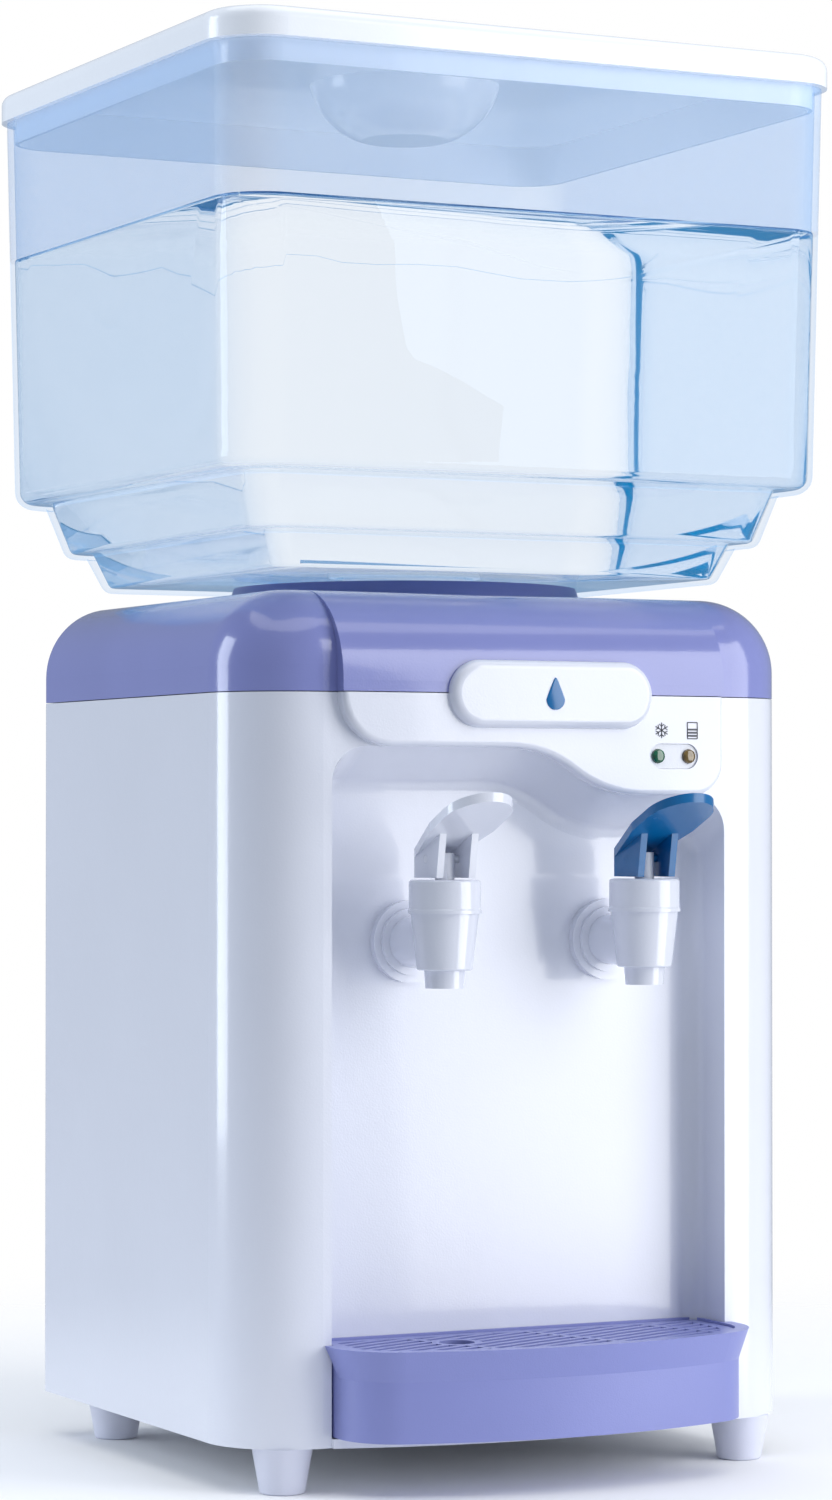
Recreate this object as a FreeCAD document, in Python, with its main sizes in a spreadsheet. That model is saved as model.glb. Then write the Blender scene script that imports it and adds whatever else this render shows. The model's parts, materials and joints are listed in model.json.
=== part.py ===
"""Countertop water dispenser: a clear tank over a thermoelectric cooler with two push-lever taps.

Frame: +X to the user's right as they face the taps, +Y to the rear, +Z up, millimetres.
The origin lies under the middle of the whole object's box, on the surface it stands on.
"""
import FreeCAD, Part
import math
import os
import re
import Sketcher

Vector = FreeCAD.Vector
doc = FreeCAD.newDocument("water_dispenser")
sheet = doc.addObject("Spreadsheet::Sheet", "Dims")

# name, millimetres (or as noted), what it is
SIZES = (
    ("body_width", 208, "housing, side to side"),
    ("body_depth", 172.8, "housing, front wall to rear wall"),
    ("body_middle", 6.6, "middle of the housing's depth, behind the origin"),
    ("foot_height", 15, "underside of the housing over the table"),
    ("seam_height", 257.3, "joint of the housing and the top cover"),
    ("cover_height", 33.9, "top cover above the joint"),
    ("seam_gap", 0.3, "shadow gap at the joint"),
    ("wall", 2.5, "moulded wall"),
    ("front_corner", 28, "upright corner radius at the front"),
    ("rear_corner", 3, "edge radius round the rear face"),
    ("cover_round", 25, "rounding of the cover's front and side top edges"),
    ("column_width", 31, "front wall left standing each side of the alcove"),
    ("alcove_depth", 18.4, "front wall to the alcove's rear wall"),
    ("alcove_corner", 12, "radius of the alcove's upper corners"),
    ("alcove_round", 6, "blend round the alcove's rear wall"),
    ("cove_drop", 12, "fall of the alcove's ceiling to the rear"),
    ("lip_height", 3, "shelf under the drip tray"),
    ("lip_reach", 13.6, "shelf in front of the housing, in the middle"),
    ("lip_bow", 12, "shelf's bow over the alcove's width"),
    ("fascia_proud", 5, "raised fascia over the front wall"),
    ("fascia_left_margin", 32.8, "housing side to the fascia's left edge"),
    ("fascia_right_margin", 34, "housing side to the fascia's right edge"),
    ("fascia_skirt", 17.3, "fascia below the joint, at its left"),
    ("fascia_drop", 15.5, "further fall of the fascia's edge at its right"),
    ("fascia_bend_inset", 32.3, "fascia's right edge to the foot of its bend"),
    ("fascia_bend_run", 48.7, "length of the bend in the fascia's lower edge"),
    ("fascia_corner", 11, "radius of the fascia's lower right corner"),
    ("fascia_round", 2, "edge radius of the raised fascia"),
    ("window_margin", 10, "indicator bezel from the fascia's right edge"),
    ("window_width", 18.6, "indicator bezel, end to end"),
    ("window_height", 8.4, "indicator bezel, top to bottom"),
    ("window_drop", 19.9, "bezel's middle below the joint"),
    ("window_depth", 1.2, "recess that holds the bezel"),
    ("tray_rear_corner", 7, "tray's rear corners"),
    ("tray_ledge", 1.2, "tray's rim outside the grille's seat"),
    ("step_upper_corner", 14, "corners of the tank's middle step"),
    ("step_lower_corner", 10, "corners of the tank's lowest step"),
    ("hose_radius", 4, "hose spigots"),
    ("hose_bore", 2.5, "radius of the way through a spigot"),
    ("grip_sweep", 22, "radius of the finger bowl's side"),
    ("lamp_radius", 2.3, "indicator lamp"),
    ("lamp_spacing", 11.7, "between the two indicator lamps"),
    ("lamp_proud", 0.6, "lamp in front of the bezel"),
    ("fit_gap", 0.1, "clearance round pieces that are fixed together"),
    ("move_gap", 0.3, "clearance between pieces that part"),
    ("pin_gap", 0.05, "radial running clearance"),
    ("badge_width", 75, "badge, end to end"),
    ("badge_height", 22.2, "badge, top to bottom"),
    ("badge_offset", 4, "badge's middle to the right of the housing's"),
    ("badge_lift", 0, "joint above the badge's middle"),
    ("badge_proud", 3.6, "badge in front of the fascia"),
    ("badge_round", 3, "badge's edge radius"),
    ("foot_inset_side", 18.8, "foot's axis from the housing's side"),
    ("foot_inset_front", 11.3, "front foot's axis from the front wall"),
    ("foot_inset_rear", 22.4, "rear foot's axis from the rear wall"),
    ("foot_top_radius", 10, "foot where it meets the base"),
    ("foot_tip_radius", 7.5, "foot on the table"),
    ("base_thickness", 3, "base plate"),
    ("slot_width", 3.4, "vent slot"),
    ("slot_pitch", 8, "vent slots, middle to middle"),
    ("panel_margin", 12, "rear wall left standing round the rear panel"),
    ("panel_overlap", 5, "rear panel's flange behind that wall"),
    ("screw_radius", 1.5, "case screw's shank"),
    ("screw_head", 3.2, "case screw's head radius"),
    ("screw_length", 9, "case screw under its head"),
    ("tray_height", 29.5, "drip tray"),
    ("tray_reach", 33.6, "tray in front of the housing, in the middle"),
    ("tray_bow", 14.9, "bow of the tray's front over its width"),
    ("tray_corner", 20, "tray's front corners"),
    ("tray_wall", 2.2, "tray's wall and floor"),
    ("tray_side_gap", 0.8, "tray to the alcove's side"),
    ("tray_rim_height", 10, "flared rim of the tray"),
    ("tray_flare", 3.4, "how far the rim flares out"),
    ("grille_thickness", 3.2, "drip grille"),
    ("grille_drop", 0.8, "grille below the tray's rim"),
    ("grille_border", 4.5, "plain border of the grille"),
    ("grille_pitch", 5, "grille slots, middle to middle"),
    ("grille_slot", 2.8, "grille slot's width"),
    ("grille_turn", 22, "slots' angle to the front, degrees"),
    ("finger_hole", 5.75, "radius of the grille's finger hole"),
    ("finger_ring", 8.2, "radius of the ring round that hole"),
    ("finger_left", 30, "finger hole to the left of the middle"),
    ("finger_front", 4.2, "finger hole in front of the front wall"),
    ("tap_spacing", 74, "between the two taps"),
    ("tap_drop", 81, "tap's level axis below the joint"),
    ("tap_reach", 27.5, "tap's upright axis from the alcove's wall"),
    ("flange_radius", 13.5, "tap's flange"),
    ("flange_thickness", 3, "tap's flange"),
    ("stem_radius", 8.5, "tap's level stem"),
    ("shank_radius", 6, "tap's threaded shank"),
    ("shank_length", 13, "shank behind the alcove's wall"),
    ("nut_radius", 10.5, "nut on the shank, over its corners"),
    ("nut_thickness", 6, "nut on the shank"),
    ("barrel_rise", 9.7, "tap barrel above the level axis"),
    ("barrel_fall", 8.6, "tap barrel below the level axis"),
    ("barrel_top_radius", 11.15, "tap barrel at its top"),
    ("barrel_foot_radius", 9.1, "tap barrel at its foot"),
    ("spout_radius", 6.7, "spout"),
    ("spout_length", 5.8, "spout below the barrel"),
    ("spout_bore", 4.2, "radius of the way through the spout"),
    ("chamber_radius", 7.2, "radius of the valve chamber"),
    ("seat_fall", 5.3, "valve seat below the level axis"),
    ("cap_height", 10.9, "tap cap"),
    ("cap_radius", 11.65, "tap cap"),
    ("cap_roof", 3, "cap's top wall"),
    ("plunger_radius", 3.2, "plunger's stem"),
    ("plunger_foot_radius", 6, "plunger's foot"),
    ("seal_thickness", 3, "seal under the plunger"),
    ("lift", 3.6, "plunger's travel"),
    ("pin_rise", 6.6, "lever pin above the cap"),
    ("pin_radius", 1.2, "lever pin"),
    ("fork_width", 14, "lever over its two ears"),
    ("ear_thickness", 2.4, "one ear of the lever"),
    ("ear_rear", 8, "ear behind the pin"),
    ("ear_front", 8, "ear in front of the pin"),
    ("ear_gap", 0.6, "ear above the cap"),
    ("paddle_width", 23, "lever's paddle"),
    ("paddle_thickness", 3, "lever's paddle"),
    ("paddle_reach", 34, "paddle's tip in front of the tap's axis"),
    ("paddle_heel_rise", 9.9, "paddle's rear end above the cap"),
    ("paddle_tip_rise", 28, "paddle's tip above the cap"),
    ("tongue_width", 6, "flat top of the plunger between the ears"),
    ("spring_wire", 0.4, "radius of spring wire"),
    ("collar_height", 5.2, "tank socket's collar over the cover"),
    ("collar_radius", 61.3, "collar at its foot"),
    ("collar_top_radius", 59.6, "collar at its top"),
    ("well_radius", 53, "well inside the collar"),
    ("well_depth", 16, "well's floor below the cover's top"),
    ("boss_radius", 9, "socket's outlet"),
    ("boss_bore", 6.5, "radius of the way through that outlet"),
    ("boss_length", 16, "outlet below the well's floor"),
    ("lift_pin_radius", 2.2, "pin that opens the tank's valve"),
    ("tank_offset", 8.4, "tank's middle behind the housing's"),
    ("tank_width", 226.6, "tank at its rim"),
    ("tank_depth", 212.3, "tank at its rim, front to rear"),
    ("tank_height", 168, "tank without its neck"),
    ("tank_wall", 2.2, "tank's wall"),
    ("tank_corner", 19, "tank's upright corners"),
    ("tank_draft", 2.5, "how much each wall leans in"),
    ("step_upper", 30.3, "upper step over the tank's underside"),
    ("step_lower", 12.3, "lower step over the tank's underside"),
    ("step_upper_inset", 9.6, "first step inwards"),
    ("step_lower_inset", 6.5, "second step inwards"),
    ("step_upper_lean", 5.6, "lean of the wall below the upper step"),
    ("step_lower_lean", 5, "lean of the wall below the lower step"),
    ("step_round", 6, "rounding of the tank's largest lower edge"),
    ("neck_radius", 24, "tank's outlet neck"),
    ("neck_wall", 2.5, "neck's wall"),
    ("neck_length", 12.5, "neck below the tank"),
    ("valve_wall", 2.5, "tank valve's wall and floor"),
    ("valve_hole", 6, "radius of the hole in the tank valve"),
    ("poppet_radius", 9, "tank valve's poppet"),
    ("poppet_travel", 3, "poppet's travel"),
    ("guide_radius", 2.5, "poppet's guide stem"),
    ("lid_overhang", 1.8, "lid beyond the tank"),
    ("lid_height", 10, "lid"),
    ("lid_corner", 20.5, "lid's upright corners"),
    ("lid_round", 4, "lid's top edge"),
    ("lid_rib_depth", 7, "lid's locating rib inside the tank"),
    ("lid_rib_gap", 0.5, "rib to the tank's wall"),
    ("grip_radius", 31, "finger bowl in the lid, at its mouth"),
    ("grip_floor_radius", 15, "finger bowl's floor"),
    ("grip_depth", 19, "finger bowl"),
    ("cooler_offset", 22, "cooler's middle to the right of the housing's"),
    ("reservoir_width", 80, "cold reservoir"),
    ("reservoir_fall", 11.3, "reservoir's floor below the taps' axis"),
    ("reservoir_drop", 12.3, "reservoir's top below the joint"),
    ("reservoir_wall", 1.5, "reservoir's wall"),
    ("reservoir_gap", 29.7, "alcove's rear wall to the reservoir"),
    ("insulation", 10, "insulation's thickness"),
    ("stub_length", 11, "reservoir's inlet above its top"),
    ("sleeve_wall", 2.5, "inlet sleeve's wall"),
    ("sleeve_length", 13, "inlet sleeve"),
    ("tube_wall", 1.5, "water tube's wall"),
    ("tube_bend", 12, "water tube's bend"),
    ("block_size", 40, "cold block and thermoelectric module"),
    ("block_depth", 10, "cold block"),
    ("module_depth", 3.8, "thermoelectric module"),
    ("sink_size", 84, "heat sink"),
    ("sink_base", 6, "heat sink's base"),
    ("fin_length", 18.6, "heat sink's fins"),
    ("fin_thickness", 1.5, "heat sink's fins"),
    ("fin_pitch", 6, "heat sink's fins, middle to middle"),
    ("fan_size", 80, "fan"),
    ("fan_depth", 20, "fan"),
    ("fan_gap", 2, "fan to the rear panel"),
    ("fan_bore", 38, "radius of the fan's duct"),
    ("hub_radius", 15, "fan's hub"),
    ("blade_gap", 1.5, "blade tips to the duct"),
    ("float_radius", 8, "level float"),
    ("float_height", 14, "level float"),
    ("supply_width", 50, "power supply"),
    ("supply_depth", 90, "power supply"),
    ("board_thickness", 1.6, "circuit boards"),
    ("gland_radius", 7, "cord gland"),
    ("gland_bore", 3.6, "radius of the cord's way through the gland"),
    ("gland_rise", 30, "gland over the housing's underside"),
    ("switch_width", 14, "rocker switch"),
    ("switch_height", 20, "rocker switch"),
    ("rocker_tilt", 12, "rocker's angle each side of level, degrees"),
)

for row, (name, number, note) in enumerate(SIZES, start=1):
    sheet.set(f"A{row}", name)
    sheet.set(f"B{row}", str(number))
    sheet.setAlias(f"B{row}", name)
    sheet.set(f"C{row}", note)
doc.recompute()
NAMES = {name for name, number, note in SIZES}
SMALL = 0.01        # tolerance for picking edges by their place
parts = {}          # node name to document object


def bound(formula):
    """A formula in size names, with each name pointing at the sheet."""
    def to_cell(match):
        return "Dims." + match.group() if match.group() in NAMES else match.group()
    return re.sub(r"[a-z][a-z_0-9]*", to_cell, str(formula))


def value(formula):
    """The present number of a formula."""
    return float(sheet.evalExpression(bound(formula)))


def bind(obj, **formulas):
    for prop, formula in formulas.items():
        obj.setExpression(prop, bound(formula))
    return obj


def put(obj, x="0", y="0", z="0", turn=None):
    """Place an object, turned first if asked, at a bound position."""
    if turn:
        obj.Placement = FreeCAD.Placement(Vector(), turn)
    for axis, formula in zip("xyz", (x, y, z)):
        obj.setExpression("Placement.Base." + axis, bound(formula))
    return obj


def node(name, obj):
    """Name a finished sub-part."""
    obj.Label = name
    parts[name] = obj
    return obj


# ---------------------------------------------------------------- primitives and booleans

def block(x0, x1, y0, y1, z0, z1):
    obj = doc.addObject("Part::Box", "Block")
    bind(obj, Length=f"({x1}) - ({x0})", Width=f"({y1}) - ({y0})", Height=f"({z1}) - ({z0})")
    return put(obj, x0, y0, z0)


TO_X = FreeCAD.Rotation(Vector(0, 1, 0), 90)
TO_REAR = FreeCAD.Rotation(Vector(1, 0, 0), -90)
TURNS = {"x": TO_X, "y": TO_REAR, "z": None}


def rod(radius, x, y, z, length, along="z"):
    obj = doc.addObject("Part::Cylinder", "Rod")
    bind(obj, Radius=radius, Height=length)
    return put(obj, x, y, z, TURNS[along])


def fuse(*shapes):
    obj = doc.addObject("Part::MultiFuse", "Joined")
    obj.Shapes = list(shapes)
    obj.Refine = True
    return obj


def cut(base, *tools):
    obj = doc.addObject("Part::Cut", "Trimmed")
    obj.Base = base
    obj.Tool = tools[0] if len(tools) == 1 else fuse(*tools)
    return obj


def common(*shapes):
    obj = doc.addObject("Part::MultiCommon", "Shared")
    obj.Shapes = list(shapes)
    return obj


def group(*shapes):
    obj = doc.addObject("Part::Compound", "Group")
    obj.Links = list(shapes)
    return obj


def tube(outer, inner, x, y, z, length, along="z"):
    return cut(rod(outer, x, y, z, length, along), rod(inner, x, y, z, length, along))


# ---------------------------------------------------------------- sketches and features

def new_body(name):
    return doc.addObject("PartDesign::Body", name)


def sketch(body, role, at, path):
    """A closed outline on an origin plane moved to the coordinate at.

    Each step of path is (u, v) for a line to that point, or (u, v, radius, side) for an arc
    that bends to the left (side 1) or to the right (side -1) on its way there.
    """
    result = body.newObject("Sketcher::SketchObject", "Outline")
    plane = [item for item in body.Origin.OriginFeatures if item.Role == role][0]
    result.AttachmentSupport = [(plane, "")]
    result.MapMode = "FlatFace"
    flip = "-" if role == "XZ_Plane" else ""
    result.setExpression("AttachmentOffset.Base.z", bound(f"{flip}({at})"))
    points = [Vector(value(step[0]), value(step[1]), 0) for step in path]
    starts = []
    for index, step in enumerate(path):
        start, end = points[index - 1], points[index]
        if len(step) == 2:
            edge = result.addGeometry(Part.LineSegment(start, end), False)
            starts.append((edge, 1, 2))
            continue
        radius, side = value(step[2]), step[3]
        chord = end - start
        rise = math.sqrt(max(radius ** 2 - chord.Length ** 2 / 4, 0))
        normal = Vector(-chord.y, chord.x, 0).normalize()
        centre = (start + end) * 0.5 + normal * rise * side
        circle = Part.Circle(centre, Vector(0, 0, 1), radius)
        first, last = (start, end) if side > 0 else (end, start)
        angles = [math.atan2(spot.y - centre.y, spot.x - centre.x) for spot in (first, last)]
        if angles[1] < angles[0]:
            angles[1] += 2 * math.pi
        edge = result.addGeometry(Part.ArcOfCircle(circle, *angles), False)
        size = result.addConstraint(Sketcher.Constraint("Radius", edge, radius))
        result.setExpression(f"Constraints[{size}]", bound(step[2]))
        starts.append((edge, 1, 2) if side > 0 else (edge, 2, 1))
    for index, (edge, begin, finish) in enumerate(starts):
        after = starts[(index + 1) % len(starts)]
        result.addConstraint(Sketcher.Constraint("Coincident", edge, finish, after[0], after[1]))
        for kind, formula, number in (("DistanceX", path[index][0], points[index].x),
                                      ("DistanceY", path[index][1], points[index].y)):
            place = result.addConstraint(Sketcher.Constraint(kind, -1, 1, edge, finish, number))
            result.setExpression(f"Constraints[{place}]", bound(formula))
    return result


def circle(body, role, at, u, v, radius):
    """A round outline on an origin plane moved to the coordinate at."""
    result = body.newObject("Sketcher::SketchObject", "Round")
    plane = [item for item in body.Origin.OriginFeatures if item.Role == role][0]
    result.AttachmentSupport = [(plane, "")]
    result.MapMode = "FlatFace"
    flip = "-" if role == "XZ_Plane" else ""
    result.setExpression("AttachmentOffset.Base.z", bound(f"{flip}({at})"))
    middle = Vector(value(u), value(v), 0)
    edge = result.addGeometry(Part.Circle(middle, Vector(0, 0, 1), value(radius)), False)
    for kind, formula, number in (("DistanceX", u, middle.x), ("DistanceY", v, middle.y)):
        place = result.addConstraint(Sketcher.Constraint(kind, -1, 1, edge, 3, number))
        result.setExpression(f"Constraints[{place}]", bound(formula))
    size = result.addConstraint(Sketcher.Constraint("Radius", edge, value(radius)))
    result.setExpression(f"Constraints[{size}]", bound(radius))
    return result


def pad(body, outline, length, reverse=False, taper=None):
    feature = body.newObject("PartDesign::Pad", "Pad")
    feature.Profile = outline
    feature.Reversed = reverse
    bind(feature, Length=length)
    if taper:
        bind(feature, TaperAngle=taper)
    return feature


def pocket(body, outline, depth, reverse=False):
    """A cut, against the plane's normal unless reversed, that has to remove something."""
    doc.recompute()
    before = body.Shape.Volume
    feature = body.newObject("PartDesign::Pocket", "Pocket")
    feature.Profile = outline
    feature.Reversed = reverse
    bind(feature, Length=depth)
    doc.recompute()
    if body.Shape.Volume > before - SMALL:
        raise ValueError(f"a pocket in {body.Name} cuts nothing")
    return feature


def loft(body, kind, first, second):
    feature = body.newObject("PartDesign::" + kind, "Loft")
    feature.Profile = first
    feature.Sections = [second]
    feature.Ruled = True
    return feature


def turned(name, profile, x="0", y="0", z="0", rotation=None):
    """A body revolved about its own upright axis from (radius, height) steps."""
    body = new_body(name)
    outline = sketch(body, "XZ_Plane", "0", profile)
    feature = body.newObject("PartDesign::Revolution", "Turned")
    feature.Profile = outline
    feature.ReferenceAxis = (outline, ["V_Axis"])
    feature.Angle = 360
    return put(body, x, y, z, rotation)


def soften(body, radius, chosen):
    """Round the edges of the body's present shape for which chosen(box, edge) is true."""
    doc.recompute()
    base = body.Tip
    names = [f"Edge{number}" for number, edge in enumerate(base.Shape.Edges, start=1)
             if chosen(edge.BoundBox, edge)]
    if not names:
        raise ValueError(f"no edge to round in {body.Name}")
    feature = body.newObject("PartDesign::Fillet", "Softened")
    feature.Base = (base, names)
    bind(feature, Radius=radius)
    return feature


def near(number, formula):
    return abs(number - value(formula)) < SMALL


def upright(box, edge):
    return box.ZLength > 1 and box.XLength < box.ZLength and box.YLength < box.ZLength


def rectangle(x0, x1, y0, y1):
    return ((x0, y0), (x1, y0), (x1, y1), (x0, y1))


def stadium(x0, x1, z0, z1):
    """A slot outline with half-round ends."""
    radius = f"(({z1}) - ({z0}))/2"
    left, right = f"({x0}) + {radius}", f"({x1}) - {radius}"
    middle = f"(({z1}) + ({z0}))/2"
    return ((left, z0), (right, z0), (x1, middle, radius, 1), (right, z1, radius, 1),
            (left, z1), (x0, middle, radius, 1), (left, z0, radius, 1))[1:]


# ---------------------------------------------------------------- shared places

SIDE = "body_width/2"
FRONT = "(body_middle - body_depth/2)"
REAR = "(body_middle + body_depth/2)"
COVER_TOP = "(seam_height + cover_height)"
ALCOVE_SIDE = "(body_width/2 - column_width)"
ALCOVE_WALL = f"({FRONT} + alcove_depth)"
ALCOVE_BACK = f"({ALCOVE_WALL} + wall)"
FLOOR = "(foot_height + lip_height)"
FASCIA_FACE = f"({FRONT} - fascia_proud)"
FASCIA_LEFT = "(fascia_left_margin - body_width/2)"
FASCIA_RIGHT = "(body_width/2 - fascia_right_margin)"
FASCIA_EDGE = "(seam_height - fascia_skirt)"
FASCIA_LOW = "(seam_height - fascia_skirt - fascia_drop)"
BEND_END = f"({FASCIA_RIGHT} - fascia_bend_inset)"
BEND_START = f"({BEND_END} - fascia_bend_run)"
BEND_RADIUS = "(fascia_bend_run*fascia_bend_run/4 + fascia_drop*fascia_drop/4)/fascia_drop"
TANK_MIDDLE = "(body_middle + tank_offset)"
TAP_AXIS = f"({ALCOVE_WALL} - tap_reach)"
TAP_HEIGHT = "(seam_height - tap_drop)"
TRAY_TOP = f"({FLOOR} + move_gap + tray_height)"
TRAY_HALF = f"({ALCOVE_SIDE} - tray_side_gap)"
TRAY_RADIUS = f"(({TRAY_HALF}*{TRAY_HALF} + tray_bow*tray_bow)/(2*tray_bow))"
TANK_FLOOR = f"({COVER_TOP} + collar_height + move_gap)"
TANK_TOP = f"({TANK_FLOOR} + tank_height)"
WELL_FLOOR = f"({COVER_TOP} - well_depth)"
WINDOW_RIGHT = f"({FASCIA_RIGHT} - window_margin)"
WINDOW_LEFT = f"({WINDOW_RIGHT} - window_width)"
WINDOW_MIDDLE = "(seam_height - window_drop)"
LAMPS = {"green": f"(({WINDOW_LEFT} + {WINDOW_RIGHT} - lamp_spacing)/2)",
         "amber": f"(({WINDOW_LEFT} + {WINDOW_RIGHT} + lamp_spacing)/2)"}
SIDES = {"left": "-1", "right": "1"}
SPOUT_TOP = f"({TAP_HEIGHT} + barrel_rise + cap_height)"
RESERVOIR_FRONT = f"({ALCOVE_WALL} + reservoir_gap)"
FAN_FRONT = f"({REAR} - 2*wall - fan_gap - fan_depth)"
SINK_FRONT = f"({FAN_FRONT} - fit_gap - fin_length - sink_base)"
MODULE_FRONT = f"({SINK_FRONT} - module_depth)"
RESERVOIR_REAR = f"({MODULE_FRONT} - block_depth)"
RESERVOIR_LEFT = "(cooler_offset - reservoir_width/2)"
RESERVOIR_RIGHT = "(cooler_offset + reservoir_width/2)"
RESERVOIR_FLOOR = f"({TAP_HEIGHT} - reservoir_fall)"
RESERVOIR_TOP = "(seam_height - reservoir_drop)"
COOLER_HEIGHT = f"(({RESERVOIR_FLOOR} + {RESERVOIR_TOP})/2)"
BOSS_FOOT = f"({WELL_FLOOR} - wall - boss_length)"
SPIGOT_HEIGHT = f"({WELL_FLOOR} - wall - hose_radius - tube_wall - move_gap)"
VALVE_FLOOR = f"({TANK_FLOOR} - neck_length - valve_wall)"
POPPET_FOOT = f"({VALVE_FLOOR} + valve_wall + poppet_travel)"
STEM_FOOT = f"({POPPET_FOOT} - valve_wall - 1.5)"
GRIP_TOP = f"({TANK_TOP} + move_gap + lid_height)"


def lower_edge(down, right, corner):
    """The run of the fascia's lower edge, lowered, as far as its right corner."""
    middle_x = f"({BEND_START} + fascia_bend_run/2)"
    middle_z = f"({FASCIA_EDGE} - fascia_drop/2 - ({down}))"
    high, low = f"{FASCIA_EDGE} - ({down})", f"{FASCIA_LOW} - ({down})"
    return ((BEND_START, high),
            (middle_x, middle_z, BEND_RADIUS, -1),
            (BEND_END, low, BEND_RADIUS, 1),
            (f"({right}) - ({corner})", low))


# ---------------------------------------------------------------- housing

def alcove_outline(foot, down, grow):
    """Alcove opening seen from the front, its ceiling lowered and its outline grown."""
    side = f"{ALCOVE_SIDE} + {grow}"
    corner = f"alcove_corner + {grow}"
    high = f"{FASCIA_EDGE} - ({down}) + {grow}"
    low = f"{FASCIA_LOW} - ({down}) + {grow}"
    run = lower_edge(f"({down}) - {grow}", side, corner)
    return ((f"-({side})", foot),
            (f"-({side})", f"{high} - ({corner})"),
            (f"{corner} - ({side})", high, corner, -1),
            *run,
            (side, f"{low} - ({corner})", corner, -1),
            (side, foot))


def fascia_outline(inset):
    """Raised fascia below the joint, seen from the front."""
    corner_left = f"(fascia_skirt - {inset})"
    left, right = f"{FASCIA_LEFT} + {inset}", f"{FASCIA_RIGHT} - {inset}"
    run = lower_edge(f"-{inset}", right, f"(fascia_corner - {inset})")
    low = f"{FASCIA_LOW} + {inset}"
    return ((left, "seam_height"),
            (f"{left} + {corner_left}", f"{FASCIA_EDGE} + {inset}", corner_left, 1),
            *((step[0], step[1]) if len(step) == 2 else step for step in run),
            (right, f"{low} + (fascia_corner - {inset})", f"(fascia_corner - {inset})", 1),
            (right, "seam_height"))


def housing_shell():
    body = new_body("Housing")
    outline = sketch(body, "XY_Plane", "foot_height", rectangle(f"-{SIDE}", SIDE, FRONT, REAR))
    pad(body, outline, "seam_height - foot_height")
    soften(body, "front_corner", lambda box, edge: upright(box, edge) and near(box.YMin, FRONT))
    soften(body, "rear_corner", lambda box, edge: upright(box, edge) and near(box.YMax, REAR))
    doc.recompute()
    solid = body.Tip
    faces = [f"Face{number}" for number, face in enumerate(solid.Shape.Faces, start=1)
             if face.BoundBox.ZLength < SMALL]
    shell = body.newObject("PartDesign::Thickness", "Hollow")
    shell.Base = (solid, faces)
    shell.Reversed = True
    bind(shell, Value="wall")
    ends = [sketch(body, "XZ_Plane", at, alcove_outline("foot_height", down, "wall"))
            for at, down in ((f"{FRONT} + wall/2", "0"), (ALCOVE_BACK, "cove_drop"))]
    loft(body, "AdditiveLoft", *ends)
    pad(body, sketch(body, "XZ_Plane", f"{FRONT} + wall/2", fascia_outline("0")),
        "fascia_proud + wall/2")
    pocket(body, sketch(body, "XZ_Plane", f"{FASCIA_FACE} + wall", fascia_outline("wall")),
           "fascia_proud")
    soften(body, "fascia_round", lambda box, edge: near(box.YMin, FASCIA_FACE)
           and near(box.YMax, FASCIA_FACE) and box.ZMin < value("seam_height") - SMALL)
    ends = [sketch(body, "XZ_Plane", at, alcove_outline(FLOOR, down, "0"))
            for at, down in ((FRONT, "0"), (ALCOVE_WALL, "cove_drop"))]
    loft(body, "SubtractiveLoft", *ends)
    soften(body, "alcove_round", lambda box, edge: near(box.YMin, ALCOVE_WALL)
           and near(box.YMax, ALCOVE_WALL) and box.ZMax > value(FLOOR) + SMALL)
    shelf = sketch(body, "XY_Plane", "foot_height", (
        (f"-{ALCOVE_SIDE}", ALCOVE_BACK),
        (f"-{ALCOVE_SIDE}", f"{FRONT} - lip_reach + lip_bow"),
        (ALCOVE_SIDE, f"{FRONT} - lip_reach + lip_bow",
         f"({ALCOVE_SIDE}*{ALCOVE_SIDE} + lip_bow*lip_bow)/(2*lip_bow)", 1),
        (ALCOVE_SIDE, ALCOVE_BACK)))
    pad(body, shelf, "lip_height")
    panel = rectangle(f"panel_margin - {SIDE}", f"{SIDE} - panel_margin",
                      "foot_height + panel_margin", "seam_height - panel_margin")
    pocket(body, sketch(body, "XZ_Plane", f"{REAR} - wall - 1", panel), "wall + 2")
    recess = sketch(body, "XZ_Plane", FASCIA_FACE,
                    stadium(WINDOW_LEFT, WINDOW_RIGHT, f"{WINDOW_MIDDLE} - window_height/2",
                            f"{WINDOW_MIDDLE} + window_height/2"))
    pocket(body, recess, "window_depth")
    for place in LAMPS.values():
        pocket(body, circle(body, "XZ_Plane", FASCIA_FACE, place, WINDOW_MIDDLE,
                            "lamp_radius + fit_gap"), "fascia_proud + wall")
    for side in SIDES.values():
        pocket(body, circle(body, "XZ_Plane", f"{ALCOVE_WALL} - 1", f"{side}*tap_spacing/2",
                            TAP_HEIGHT, "shank_radius + fit_gap"), "wall + 2")
    for x, z in panel_screws():
        pocket(body, circle(body, "XZ_Plane", f"{REAR} - wall - 1", x, z,
                            "screw_radius + fit_gap"), "wall + 2")
    return node("housing_shell", body)


def panel_screws():
    """Places of the rear panel's screws, seen from the rear wall."""
    reach = f"({SIDE} - panel_margin + panel_overlap/2)"
    low = "foot_height + panel_margin - panel_overlap/2"
    high = "seam_height - panel_margin + panel_overlap/2"
    return [(f"{sign}{reach}", z) for sign in ("-", "") for z in (low, f"({low} + {high})/2", high)]


def vent(body, at, depth, role, corners, direction, count):
    """A row of slots: the first one cut between its corners, then repeated."""
    outline = sketch(body, role, at, corners)
    first = pocket(body, outline, depth)
    row = body.newObject("PartDesign::LinearPattern", "Row")
    row.Originals = [first]
    row.Direction = (outline, [direction])
    bind(row, Length=f"slot_pitch*(({count}) - 1)", Occurrences=count)
    body.Tip = row
    doc.recompute()


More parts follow.
